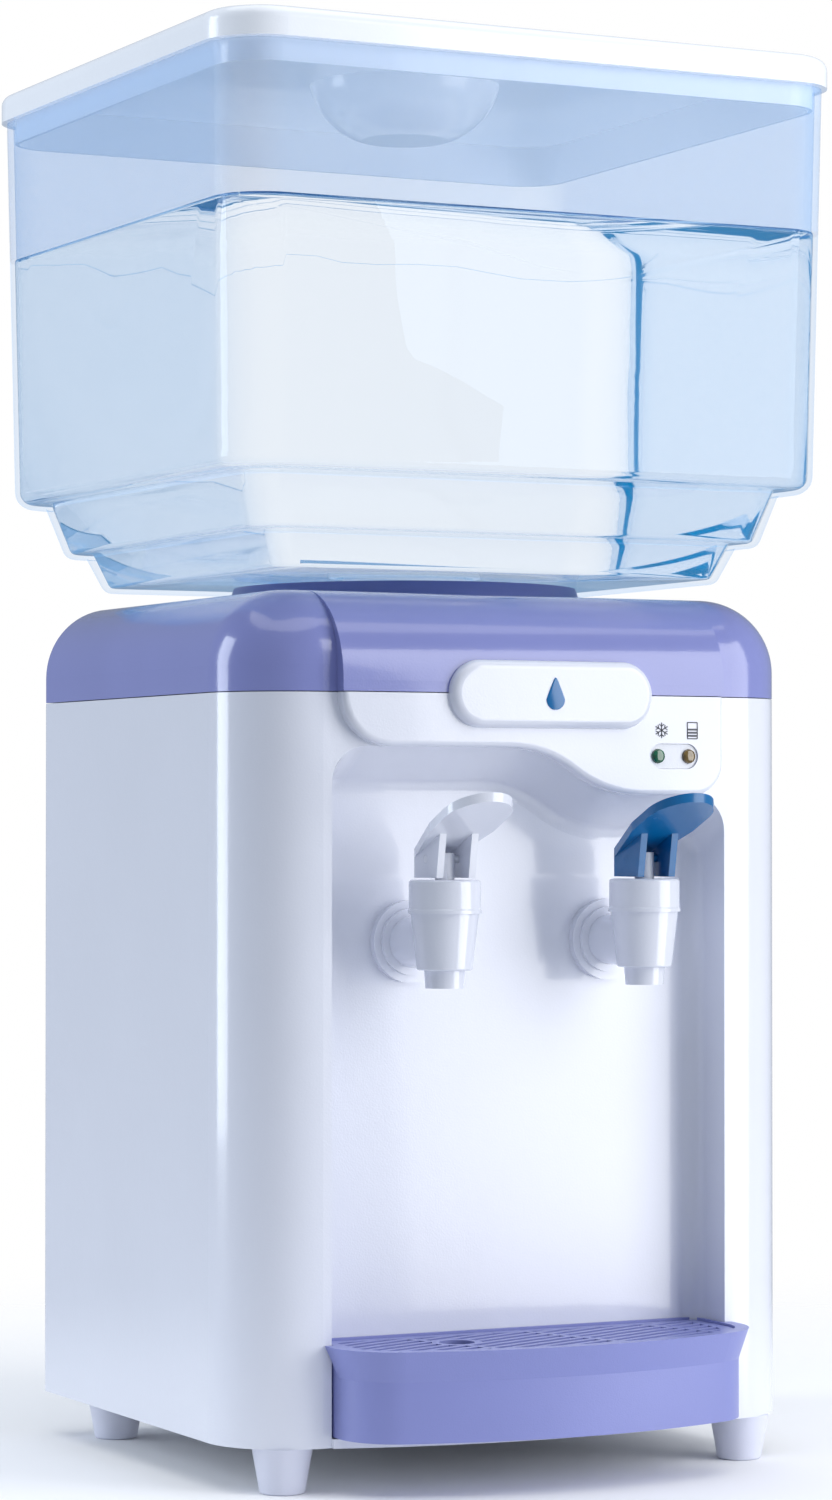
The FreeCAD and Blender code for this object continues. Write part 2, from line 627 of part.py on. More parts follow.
def rear_panel():
    body = new_body("RearPanel")
    low, high = "foot_height + panel_margin", "seam_height - panel_margin"
    reach = f"({SIDE} - panel_margin)"
    pad(body, sketch(body, "XZ_Plane", REAR, rectangle(
        f"fit_gap - {reach}", f"{reach} - fit_gap", f"{low} + fit_gap", f"{high} - fit_gap")),
        "wall")
    pad(body, sketch(body, "XZ_Plane", f"{REAR} - wall", rectangle(
        f"-({reach} + panel_overlap)", f"{reach} + panel_overlap", f"{low} - panel_overlap",
        f"{high} + panel_overlap")), "wall")
    inside, through = f"{REAR} - 2*wall", "2*wall + 1"
    for x, z in panel_screws():
        pocket(body, circle(body, "XZ_Plane", inside, x, z, "screw_radius + fit_gap/2"), through)
    count = "floor(fan_size/slot_pitch)"
    lowest = f"{COOLER_HEIGHT} - slot_pitch*({count} - 1)/2"
    vent(body, inside, through, "XZ_Plane",
         rectangle("cooler_offset - fan_size/2", "cooler_offset + fan_size/2",
                   f"{lowest} - slot_width/2", f"{lowest} + slot_width/2"), "V_Axis", count)
    vent(body, inside, through, "XZ_Plane",
         rectangle("-fan_size/4", "fan_size*3/4", "foot_height + 30", "foot_height + 30 + slot_width"),
         "V_Axis", "5")
    pocket(body, circle(body, "XZ_Plane", inside, GLAND_X, GLAND_Z, "gland_radius"), through)
    pocket(body, sketch(body, "XZ_Plane", inside, rectangle(
        f"{GLAND_X} - switch_width/2", f"{GLAND_X} + switch_width/2",
        f"{SWITCH_Z} - switch_height/2", f"{SWITCH_Z} + switch_height/2")), through)
    return node("rear_panel", body)


GLAND_X = "(foot_inset_side + 12 - body_width/2)"
GLAND_Z = "(foot_height + gland_rise)"
SWITCH_Z = "(foot_height + gland_rise + switch_height + 12)"


def base_plate():
    body = new_body("Base")
    side = f"({SIDE} - wall - fit_gap)"
    front, rear = f"{FRONT} + wall + fit_gap", f"{REAR} - wall - fit_gap"
    notch, step = f"({ALCOVE_SIDE} + wall + fit_gap)", f"{ALCOVE_BACK} + fit_gap"
    pad(body, sketch(body, "XY_Plane", "foot_height", (
        (f"-{side}", rear), (f"-{side}", front), (f"-{notch}", front), (f"-{notch}", step),
        (notch, step), (notch, front), (side, front), (side, rear))), "base_thickness")
    soften(body, "front_corner - wall", lambda box, edge: box.ZLength > 1 and
           near(box.YMin, front) and near(abs(box.XMin), side))
    soften(body, "wall/2", lambda box, edge: box.ZLength > 1 and near(box.YMin, rear))
    top = "foot_height + base_thickness"
    vent(body, top, "base_thickness + 1", "XY_Plane",
         rectangle("-20", "-20 + slot_width", f"{ALCOVE_BACK} + 25", f"{ALCOVE_BACK} + 70"),
         "H_Axis", "9")
    for x, y in base_screws():
        pocket(body, circle(body, "XY_Plane", top, x, y, "screw_radius + fit_gap"),
               "base_thickness + 1")
    return node("base_plate", body)


def base_screws():
    """Places of the screws under the base."""
    reach = f"({SIDE} - wall - 7)"
    return [(f"{sign}{reach}", y) for sign in ("-", "")
            for y in (f"{FRONT} + front_corner + 8", f"{REAR} - 12")]


def feet():
    tip = "foot_tip_radius"
    profile = (("0", "0"), (f"{tip} - 1", "0"), (tip, "1", "1", 1),
               ("foot_top_radius", "foot_height"), ("0", "foot_height"))
    places = [(f"{sign}({SIDE} - foot_inset_side)", y) for sign in ("-", "")
              for y in (f"{FRONT} + foot_inset_front", f"{REAR} - foot_inset_rear")]
    return node("feet", group(*(turned("Foot", profile, x, y) for x, y in places)))


def screw(x, y, z, rotation):
    """A pan-head screw, head outwards, its shank behind the point (x, y, z)."""
    profile = (("0", "-screw_length"), ("screw_radius", "-screw_length"), ("screw_radius", "0"),
               ("screw_head", "0"), ("screw_head", "0.8"), ("screw_head - 1.2", "2", "1.4", 1),
               ("0", "2"))
    return turned("Screw", profile, x, y, z, rotation)


def case_screws():
    node("rear_screws", group(*(screw(x, REAR, z, TO_REAR) for x, z in panel_screws())))
    down = FreeCAD.Rotation(Vector(1, 0, 0), 180)
    node("base_screws", group(*(screw(x, y, "foot_height", down) for x, y in base_screws())))


# ---------------------------------------------------------------- top cover and tank socket

def cover_form(inset):
    """Domed top cover with the raised fascia carried over it, shrunk by inset all round."""
    body = new_body("CoverForm")
    side, front, rear = f"({SIDE} - {inset})", f"({FRONT} + {inset})", f"({REAR} - {inset})"
    top = f"({COVER_TOP} - {inset})"
    foot = "(seam_height + seam_gap)" if inset == "0" else "(seam_height - 1)"
    pad(body, sketch(body, "XY_Plane", foot, rectangle(f"-{side}", side, front, rear)),
        f"{top} - {foot}")
    soften(body, f"front_corner - {inset}",
           lambda box, edge: upright(box, edge) and near(box.YMin, front))
    soften(body, f"cover_round - {inset}",
           lambda box, edge: near(box.ZMin, top) and not near(box.YMin, rear))
    if inset == "0":
        soften(body, "rear_corner", lambda box, edge: near(box.YMin, rear) and
               near(box.YMax, rear) and box.ZMax > value(foot) + SMALL)
    face = f"({FASCIA_FACE} + {inset})"
    sweep = f"(cover_round + fascia_proud - {inset})"
    section = ((face, foot), (f"{face} + {sweep}", foot), (f"{face} + {sweep}", top),
               (face, f"{top} - {sweep}", sweep, 1))
    pad(body, sketch(body, "YZ_Plane", f"{FASCIA_LEFT} + {inset}", section),
        f"{FASCIA_RIGHT} - {FASCIA_LEFT} - 2*{inset}")
    return body


def top_cover():
    well = rod("well_radius + wall + fit_gap", "0", TANK_MIDDLE, f"{COVER_TOP} - wall - 1",
               "wall + 2")
    return node("top_cover", cut(cover_form("0"), cover_form("wall"), well))


def tank_socket():
    floor, under = "-well_depth", "-well_depth - wall"
    outlet = f"{under} - boss_length"
    bowl = turned("Socket", (
        ("collar_radius", "0"), ("collar_top_radius", "collar_height"),
        ("well_radius + 1.5", "collar_height"), ("well_radius", "collar_height - 1.5", "1.5", 1),
        ("well_radius", floor), ("boss_bore", floor), ("boss_bore", outlet),
        ("boss_radius", outlet), ("boss_radius", under), ("well_radius + wall", under),
        ("well_radius + wall", "0")), "0", TANK_MIDDLE, COVER_TOP)
    reach = "(boss_radius + 12)"
    spigot = rod("hose_radius", f"-{reach}", TANK_MIDDLE, SPIGOT_HEIGHT,
                 f"{reach} - boss_bore - 1", "x")
    way = rod("hose_bore", f"-{reach} - 1", TANK_MIDDLE, SPIGOT_HEIGHT, f"{reach} + 1", "x")
    node("tank_socket", cut(fuse(bowl, spigot), way))
    node("socket_gasket", tube("neck_radius - 2", "boss_radius + 3", "0", TANK_MIDDLE,
                               WELL_FLOOR, "1.5"))
    stem = rod("lift_pin_radius", "0", TANK_MIDDLE, f"{BOSS_FOOT} + 1",
               f"{STEM_FOOT} - move_gap - {BOSS_FOOT} - 1")
    reach = "(boss_bore - fit_gap)"
    level = (f"{WELL_FLOOR} - wall - 1", f"{WELL_FLOOR} - 0.5")
    webs = [block(f"-{reach}", reach, f"{TANK_MIDDLE} - 0.6", f"{TANK_MIDDLE} + 0.6", *level),
            block("-0.6", "0.6", f"{TANK_MIDDLE} - {reach}", f"{TANK_MIDDLE} + {reach}", *level)]
    node("valve_lift_pin", fuse(stem, *webs))


# ---------------------------------------------------------------- badge and indicator lamps

def badge_and_lamps():
    body = new_body("Badge")
    half_width, half_height = "badge_width/2", "badge_height/2"
    middle = "(seam_height - badge_lift)"
    pad(body, sketch(body, "XZ_Plane", FASCIA_FACE, stadium(
        f"badge_offset - {half_width}", f"badge_offset + {half_width}",
        f"{middle} - {half_height}", f"{middle} + {half_height}")), "badge_proud")
    soften(body, "badge_round", lambda box, edge: near(box.YMax, f"{FASCIA_FACE} - badge_proud"))
    node("badge_plate", body)

    body = new_body("Bezel")
    floor = f"{FASCIA_FACE} + window_depth"
    pad(body, sketch(body, "XZ_Plane", floor, stadium(
        f"{WINDOW_LEFT} + fit_gap", f"{WINDOW_RIGHT} - fit_gap",
        f"{WINDOW_MIDDLE} - window_height/2 + fit_gap",
        f"{WINDOW_MIDDLE} + window_height/2 - fit_gap")), "window_depth/2")
    for place in LAMPS.values():
        pocket(body, circle(body, "XZ_Plane", f"{floor} - window_depth/2 - 1", place,
                            WINDOW_MIDDLE, "lamp_radius + fit_gap"), "window_depth/2 + 2")
    node("indicator_bezel", body)

    for colour, place in LAMPS.items():
        length = "(fascia_proud + wall + 0.5 - lamp_radius + lamp_proud)"
        lamp = turned("Lamp", (("0", "0"), ("lamp_radius", "0"), ("lamp_radius", length),
                               ("0", f"{length} + lamp_radius", "lamp_radius", 1)),
                      place, f"{FRONT} + wall + 0.5", WINDOW_MIDDLE,
                      FreeCAD.Rotation(Vector(1, 0, 0), 90))
        node(f"{colour}_lamp", lamp)

    board = block(f"{WINDOW_LEFT} - 10", f"{WINDOW_RIGHT} + 5", f"{FRONT} + wall + 0.5",
                  f"{FRONT} + wall + 0.5 + board_thickness", f"{WINDOW_MIDDLE} - 8",
                  "seam_height - 4")
    chip = block(f"{WINDOW_LEFT}", f"{WINDOW_LEFT} + 12",
                 f"{FRONT} + wall + 0.5 + board_thickness", f"{FRONT} + wall + 3 + board_thickness",
                 f"{WINDOW_MIDDLE}", f"{WINDOW_MIDDLE} + 8")
    node("control_board", fuse(board, chip))


# ---------------------------------------------------------------- drip tray

def tray_outline(inset, rear):
    """Bow-fronted tray in plan, shrunk by inset at the sides and front, cut off at rear."""
    half, corner = f"({TRAY_HALF} - {inset})", f"(tray_corner - {inset})"
    bow = f"({TRAY_RADIUS} - {inset})"
    centre = f"({FRONT} - tray_reach + {TRAY_RADIUS})"
    span = f"({bow} - {corner})"
    fall = f"sqrt({span}*{span} - ({half} - {corner})*({half} - {corner}))"
    turn_x = f"(({half} - {corner})*{bow}/{span})"
    turn_y = f"{centre} - {fall}*{bow}/{span}"
    start = f"{centre} - {fall}"
    return ((f"-{half}", rear), (f"-{half}", start), (f"-{turn_x}", turn_y, corner, 1),
            (turn_x, turn_y, bow, 1), (half, start, corner, 1), (half, rear))


def drip_tray():
    body = new_body("Tray")
    rear = f"{ALCOVE_WALL} - move_gap"
    floor = f"({FLOOR} + move_gap)"
    pad(body, sketch(body, "XY_Plane", floor, tray_outline("0", rear)), "tray_height")
    soften(body, "tray_rear_corner", lambda box, edge: upright(box, edge)
           and near(box.YMax, rear) and near(box.YMin, rear))
    pad(body, sketch(body, "XY_Plane", f"{TRAY_TOP} - tray_rim_height",
                     tray_outline("0", f"{FRONT} - move_gap - tray_flare")),
        "tray_rim_height", taper="atan(tray_flare/tray_rim_height)")
    seat = "(grille_drop + grille_thickness + move_gap)"
    pocket(body, sketch(body, "XY_Plane", TRAY_TOP,
                        tray_outline("tray_ledge", f"{rear} - tray_ledge")), seat)
    pocket(body, sketch(body, "XY_Plane", TRAY_TOP,
                        tray_outline("tray_wall", f"{rear} - tray_wall")),
           "tray_height - tray_wall")
    return node("drip_tray", body)


def slanted(length, width, along, across, angle):
    """A bar over the grille: its middle moved along and across the slots' direction."""
    bar = doc.addObject("Part::Box", "Bar")
    bind(bar, Length=length, Width=width, Height="grille_thickness + 2")
    bar.Placement = FreeCAD.Placement(Vector(), FreeCAD.Rotation(Vector(0, 0, 1), 1))
    bar.setExpression("Placement.Rotation.Angle", bound(f"({angle})*1deg"))
    cos, sin = f"cos(({angle})*1deg)", f"sin(({angle})*1deg)"
    back, side = f"(({along}) - ({length})/2)", f"(({across}) - ({width})/2)"
    return put(bar, f"{back}*{cos} - {side}*{sin}",
               f"{GRILLE_MIDDLE} + {back}*{sin} + {side}*{cos}", f"{GRILLE_FLOOR} - 1")


GRILLE_MIDDLE = f"(({ALCOVE_WALL} + {FRONT} - tray_reach)/2)"
GRILLE_FLOOR = f"({TRAY_TOP} - grille_drop - grille_thickness)"


def drip_grille():
    rear = f"{ALCOVE_WALL} - move_gap - tray_ledge - move_gap"
    plate, field = new_body("Grille"), new_body("Field")
    pad(plate, sketch(plate, "XY_Plane", GRILLE_FLOOR,
                      tray_outline("(tray_ledge + move_gap)", rear)), "grille_thickness")
    pad(field, sketch(field, "XY_Plane", f"{GRILLE_FLOOR} - 1",
                      tray_outline("(tray_ledge + move_gap + grille_border)",
                                   f"{rear} - grille_border")), "grille_thickness + 2")
    doc.recompute()
    long = f"(2*{TRAY_HALF} + tray_reach)"
    angle = "grille_turn"
    rows = int(value(f"({TRAY_HALF}*sin({angle}*1deg) + tray_reach)/grille_pitch")) + 1
    slots = [slanted(long, "grille_slot", "0", f"{row}*grille_pitch", angle)
             for row in range(-rows, rows + 1)]
    ribs = [slanted(long, "grille_pitch - grille_slot", "0", f"{place}*{TRAY_HALF}",
                    "grille_turn + 90") for place in ("-0.72", "-0.15", "0.42", "0.92")]
    hole = ("-finger_left", f"{FRONT} - finger_front", f"{GRILLE_FLOOR} - 1")
    ring = rod("finger_ring", *hole, "grille_thickness + 2")
    finger = rod("finger_hole", *hole, "grille_thickness + 2")
    return node("drip_grille",
                cut(plate, cut(common(fuse(*slots), field), *ribs, ring), finger))


# ---------------------------------------------------------------- taps

def spring(foot, top, radius, x, y):
    """A close coil of round wire between two heights."""
    coil = doc.addObject("Part::Helix", "Coil")
    rise = f"({top}) - ({foot}) - 2*spring_wire"
    bind(coil, Radius=radius, Height=rise, Pitch=f"({rise})/5")
    wire = doc.addObject("Part::Circle", "Wire")
    bind(wire, Radius="spring_wire")
    put(wire, radius, "0", "0", FreeCAD.Rotation(Vector(1, 0, 0), 90))
    swept = doc.addObject("Part::Sweep", "Spring")
    swept.Sections = [wire]
    swept.Spine = (coil, [])
    swept.Solid = True
    swept.Frenet = True
    return put(swept, x, y, f"({foot}) + spring_wire")


def lever(x):
    """Fork over the plunger that carries a sloping paddle with a round end."""
    low = f"({SPOUT_TOP} + ear_gap)"
    rear, tip = f"({TAP_AXIS} + ear_rear)", f"({TAP_AXIS} - paddle_reach)"
    heel, top = f"({SPOUT_TOP} + paddle_heel_rise)", f"({SPOUT_TOP} + paddle_tip_rise)"
    grade = f"(({top} - {heel})/({rear} - {tip}))"
    brow = f"({TAP_AXIS} - ear_front - 3)"
    fork = new_body("Fork")
    pad(fork, sketch(fork, "YZ_Plane", f"{x} - fork_width/2", (
        (rear, low), (rear, heel), (brow, f"{heel} + ({rear} - {brow})*{grade}"),
        (f"{TAP_AXIS} - ear_front", low))), "fork_width")
    doc.recompute()
    strip = new_body("Strip")
    pad(strip, sketch(strip, "YZ_Plane", f"{x} - paddle_width", (
        (rear, heel), (tip, top), (tip, f"{top} - paddle_thickness"),
        (rear, f"{heel} - paddle_thickness"))), "2*paddle_width")
    plan = new_body("Plan")
    round_start = f"({tip} + paddle_width/2)"
    pad(plan, sketch(plan, "XY_Plane", low, (
        (f"{x} + fork_width/2", rear), (f"{x} - fork_width/2", rear),
        (f"{x} - paddle_width/2", f"{TAP_AXIS} - ear_front - 4"),
        (f"{x} - paddle_width/2", round_start),
        (x, tip, "paddle_width/2", 1),
        (f"{x} + paddle_width/2", round_start, "paddle_width/2", 1),
        (f"{x} + paddle_width/2", f"{TAP_AXIS} - ear_front - 4"))), f"{top} - {low} + 1")
    inner = "(fork_width/2 - ear_thickness)"
    under = new_body("Slot")
    pad(under, sketch(under, "YZ_Plane", f"{x} - {inner}", (
        (f"{rear} + 1", f"{low} - 1"), (f"{rear} + 1", f"{heel} - paddle_thickness"),
        (f"{brow} - 1", f"{heel} - paddle_thickness + ({rear} + 1 - {brow})*{grade}"),
        (f"{brow} - 1", f"{low} - 1"))), f"2*{inner}")
    hole = rod("pin_radius + pin_gap", f"{x} - fork_width", TAP_AXIS, PIN_HEIGHT,
               "2*fork_width", "x")
    return cut(fuse(cut(fork, under), common(strip, plan)), hole)


PIN_HEIGHT = f"({SPOUT_TOP} + pin_rise)"


def tap(name, sign):
    x = f"({sign}*tap_spacing/2)"
    base = f"{TAP_HEIGHT} - barrel_fall - spout_length"
    barrel = turned("Barrel", (
        ("0", "0"), ("spout_radius - 0.4", "0"), ("spout_radius", "spout_length"),
        ("barrel_foot_radius - 0.8", "spout_length"),
        ("barrel_foot_radius", "spout_length + 0.8", "0.8", 1),
        ("barrel_top_radius", "spout_length + barrel_fall + barrel_rise"),
        ("0", "spout_length + barrel_fall + barrel_rise")), x, TAP_AXIS, base)
    stem = rod("stem_radius", x, TAP_AXIS, TAP_HEIGHT, "tap_reach", "y")
    flange = rod("flange_radius", x, f"{ALCOVE_WALL} - flange_thickness", TAP_HEIGHT,
                 "flange_thickness", "y")
    step = rod("stem_radius + 2.5", x, f"{ALCOVE_WALL} - flange_thickness - 1.5", TAP_HEIGHT,
               "flange_thickness", "y")
    shank = rod("shank_radius", x, ALCOVE_WALL, TAP_HEIGHT, "wall + nut_thickness + 1.5", "y")
    hose = rod("hose_radius", x, ALCOVE_WALL, TAP_HEIGHT, "wall + shank_length", "y")
    chamber = rod("chamber_radius", x, TAP_AXIS, f"{TAP_HEIGHT} - seat_fall",
                  "seat_fall + barrel_rise + 1")
    spout = rod("spout_bore", x, TAP_AXIS, f"{base} - 1", "spout_length + barrel_fall")
    way = rod("hose_bore", x, TAP_AXIS, TAP_HEIGHT, "tap_reach + wall + shank_length + 1", "y")
    node(f"tap_body_{name}", cut(fuse(barrel, stem, flange, step, shank, hose),
                                 chamber, spout, way))

    bore = "plunger_radius + pin_gap"
    node(f"tap_cap_{name}", turned("Cap", (
        ("chamber_radius", "0"), ("cap_radius + 0.3", "0"), ("cap_radius + 0.3", "1"),
        ("cap_radius", "1.6"), ("cap_radius", "cap_height - 1"),
        ("cap_radius - 1", "cap_height", "1", 1), (bore, "cap_height"),
        (bore, "cap_height - cap_roof"), ("chamber_radius", "cap_height - cap_roof")),
        x, TAP_AXIS, f"{TAP_HEIGHT} + barrel_rise"))

    foot = f"({TAP_HEIGHT} - seat_fall + pin_gap + seal_thickness)"
    top = f"({PIN_HEIGHT} + pin_radius + 0.8)"
    post = fuse(rod("plunger_foot_radius", x, TAP_AXIS, foot, "1.6"),
                rod("plunger_radius", x, TAP_AXIS, foot, f"{top} - {foot}"))
    flats = [block(f"{x} {side} tongue_width/2 + {low}", f"{x} {side} tongue_width/2 + {high}",
                   f"{TAP_AXIS} - 5", f"{TAP_AXIS} + 5", f"{SPOUT_TOP} + lift", f"{top} + 1")
             for side, low, high in (("-", "-3", "0"), ("+", "0", "3"))]
    hole = rod("pin_radius", f"{x} - 5", TAP_AXIS, PIN_HEIGHT, "10", "x")
    node(f"tap_plunger_{name}", cut(post, *flats, hole))
    node(f"tap_seal_{name}", turned("Seal", (
        ("0", "0"), ("spout_bore - 0.4", "0"), ("plunger_foot_radius", "0.9"),
        ("plunger_foot_radius", "seal_thickness"), ("0", "seal_thickness")),
        x, TAP_AXIS, f"{TAP_HEIGHT} - seat_fall + pin_gap"))
    node(f"tap_spring_{name}", spring(f"{foot} + 1.6 + fit_gap", f"{SPOUT_TOP} - cap_roof - fit_gap",
                                      "(plunger_radius + 1.4)", x, TAP_AXIS))
    node(f"tap_pin_{name}", rod("pin_radius", f"{x} - fork_width/2", TAP_AXIS, PIN_HEIGHT,
                                "fork_width", "x"))
    node(f"tap_lever_{name}", lever(x))
    nut = doc.addObject("Part::Prism", "Nut")
    nut.Polygon = 6
    bind(nut, Circumradius="nut_radius", Height="nut_thickness")
    put(nut, x, ALCOVE_BACK, TAP_HEIGHT, TO_REAR)
    node(f"tap_nut_{name}", cut(nut, rod("shank_radius", x, f"{ALCOVE_BACK} - 1", TAP_HEIGHT,
                                         "nut_thickness + 2", "y")))


# ---------------------------------------------------------------- tank, its valve and the lid

def slab(half_x, half_y, corner, foot, height, taper=None):
    """An upright block with rounded corners round the tank's axis."""
    body = new_body("Slab")
    pad(body, sketch(body, "XY_Plane", foot, rectangle(
        f"-({half_x})", half_x, f"{TANK_MIDDLE} - ({half_y})", f"{TANK_MIDDLE} + ({half_y})")),
        height, taper=taper)
    soften(body, corner, lambda box, edge: box.ZLength > value(height) - SMALL)
    return body


TANK_STEPS = (
    # foot over the tank's floor, inset of the wall's foot, lean, height, corner
    ("step_upper", "tank_draft", "tank_draft", "tank_height - step_upper", "tank_corner"),
    ("step_lower", "(tank_draft + step_upper_inset + step_upper_lean)", "step_upper_lean",
     "step_upper - step_lower", "step_upper_corner"),
    ("0", "(tank_draft + step_upper_inset + step_upper_lean + step_lower_inset + step_lower_lean)",
     "step_lower_lean", "step_lower", "step_lower_corner"),
)


def tank_form(inset):
    """The three stacked tiers of the tank, shrunk by inset and rounded along their feet."""
    tiers = []
    for tier, (foot, set_in, lean, height, corner) in enumerate(TANK_STEPS):
        half_x = f"tank_width/2 - {set_in} - {inset}"
        half_y = f"tank_depth/2 - {set_in} - {inset}"
        level = f"{TANK_FLOOR} + {foot} + {inset}"
        body = slab(half_x, half_y, f"{corner} - {inset}", level, height,
                    taper=f"atan({lean}/({height}))")
        soften(body, f"step_round - {inset}" if tier == 0 else f"step_round*2/3 - {inset}",
               lambda box, edge: near(box.ZMax, level))
        tiers.append(body)
    return fuse(*tiers)


def tank():
    hole = rod("neck_radius - neck_wall", "0", TANK_MIDDLE, f"{TANK_FLOOR} - neck_length - 1",
               "neck_length + tank_wall + 2")
    neck = rod("neck_radius", "0", TANK_MIDDLE, f"{TANK_FLOOR} - neck_length",
               "neck_length + tank_wall")
    mouth = block("-tank_width/2 + tank_corner", "tank_width/2 - tank_corner",
                  f"{TANK_MIDDLE} - tank_depth/2 + tank_corner",
                  f"{TANK_MIDDLE} + tank_depth/2 - tank_corner", f"{TANK_TOP} - 4",
                  f"{TANK_TOP} + 1")
    node("tank_shell", cut(fuse(cut(tank_form("0"), tank_form("tank_wall"), mouth), neck), hole))

    bore = "neck_radius - neck_wall"
    node("tank_valve_body", turned("ValveBody", (
        ("valve_hole", "0"), ("neck_radius + valve_wall", "0"),
        ("neck_radius + valve_wall", "neck_length + valve_wall - 2"),
        ("neck_radius", "neck_length + valve_wall - 2"), ("neck_radius", "valve_wall"),
        ("valve_hole", "valve_wall")), "0", TANK_MIDDLE, VALVE_FLOOR))
    node("tank_valve_poppet", turned("Poppet", (
        ("0", "0"), ("lift_pin_radius + 0.8", "0"), ("lift_pin_radius + 0.8", "valve_wall + 1.5"),
        ("poppet_radius", "valve_wall + 1.5"), ("poppet_radius", "2*valve_wall + 1"),
        ("guide_radius", "2*valve_wall + 1"), ("guide_radius", f"{CAGE_TOP} + 1 - {STEM_FOOT}"),
        ("0", f"{CAGE_TOP} + 1 - {STEM_FOOT}")), "0", TANK_MIDDLE, STEM_FOOT))
    ring = tube(bore, f"{bore} - 2", "0", TANK_MIDDLE, CAGE_FLOOR, f"{CAGE_TOP} - {CAGE_FLOOR}")
    arms = [block(f"-({bore} - 1)", f"{bore} - 1", f"{TANK_MIDDLE} - 1.5", f"{TANK_MIDDLE} + 1.5",
                  f"{CAGE_TOP} - 2.5", CAGE_TOP),
            block("-1.5", "1.5", f"{TANK_MIDDLE} - ({bore} - 1)", f"{TANK_MIDDLE} + ({bore} - 1)",
                  f"{CAGE_TOP} - 2.5", CAGE_TOP)]
    eye = rod("guide_radius + 2.5", "0", TANK_MIDDLE, f"{CAGE_TOP} - 2.5", "2.5")
    guide = rod("guide_radius + pin_gap", "0", TANK_MIDDLE, f"{CAGE_TOP} - 3", "4")
    node("tank_valve_cage", cut(fuse(ring, *arms, eye), guide))
    node("tank_valve_spring", spring(f"{POPPET_FOOT} + valve_wall - 0.5 + fit_gap",
                                     f"{CAGE_TOP} - 2.5 - fit_gap", "(guide_radius + 1.4)", "0",
                                     TANK_MIDDLE))


CAGE_TOP = f"({TANK_FLOOR} + tank_wall)"
CAGE_FLOOR = f"({TANK_FLOOR} - 5)"


def lid_form(inset, foot, top):
    half_x = f"tank_width/2 + lid_overhang - {inset}"
    half_y = f"tank_depth/2 + lid_overhang - {inset}"
    body = slab(half_x, half_y, f"lid_corner - {inset}", foot, f"{top} - ({foot})")
    soften(body, f"lid_round - {inset}", lambda box, edge: near(box.ZMin, top))
    return body


def lid():
    foot = f"{TANK_TOP} + move_gap"
    shell = cut(lid_form("0", foot, GRIP_TOP), lid_form("wall", f"{foot} - 1", f"{GRIP_TOP} - wall"))
    set_in = "(tank_wall + lid_rib_gap)"
    rib_foot = f"{TANK_TOP} - lid_rib_depth"
    rib_height = f"{GRIP_TOP} - wall/2 - ({rib_foot})"
    rib = cut(*(slab(f"tank_width/2 - {set_in} - {inset}", f"tank_depth/2 - {set_in} - {inset}",
                     f"tank_corner - {set_in} - {inset}", rib_foot, rib_height)
                for inset in ("tank_draft/8", "1.8")))
    bowl = turned("Bowl", (
        ("grip_radius", "0"), ("grip_floor_radius", "-grip_depth", "grip_sweep", -1),
        ("0", "-grip_depth"), ("0", "-grip_depth - wall"),
        ("grip_floor_radius", "-grip_depth - wall"),
        ("grip_radius + wall", "0", "grip_sweep + wall", 1)), "0", TANK_MIDDLE, GRIP_TOP)
    mouth = rod("grip_radius + wall/2", "0", TANK_MIDDLE, f"{GRIP_TOP} - wall - 1", "wall + 2")
    node("lid", fuse(cut(shell, mouth), rib, bowl))


# ---------------------------------------------------------------- cooler

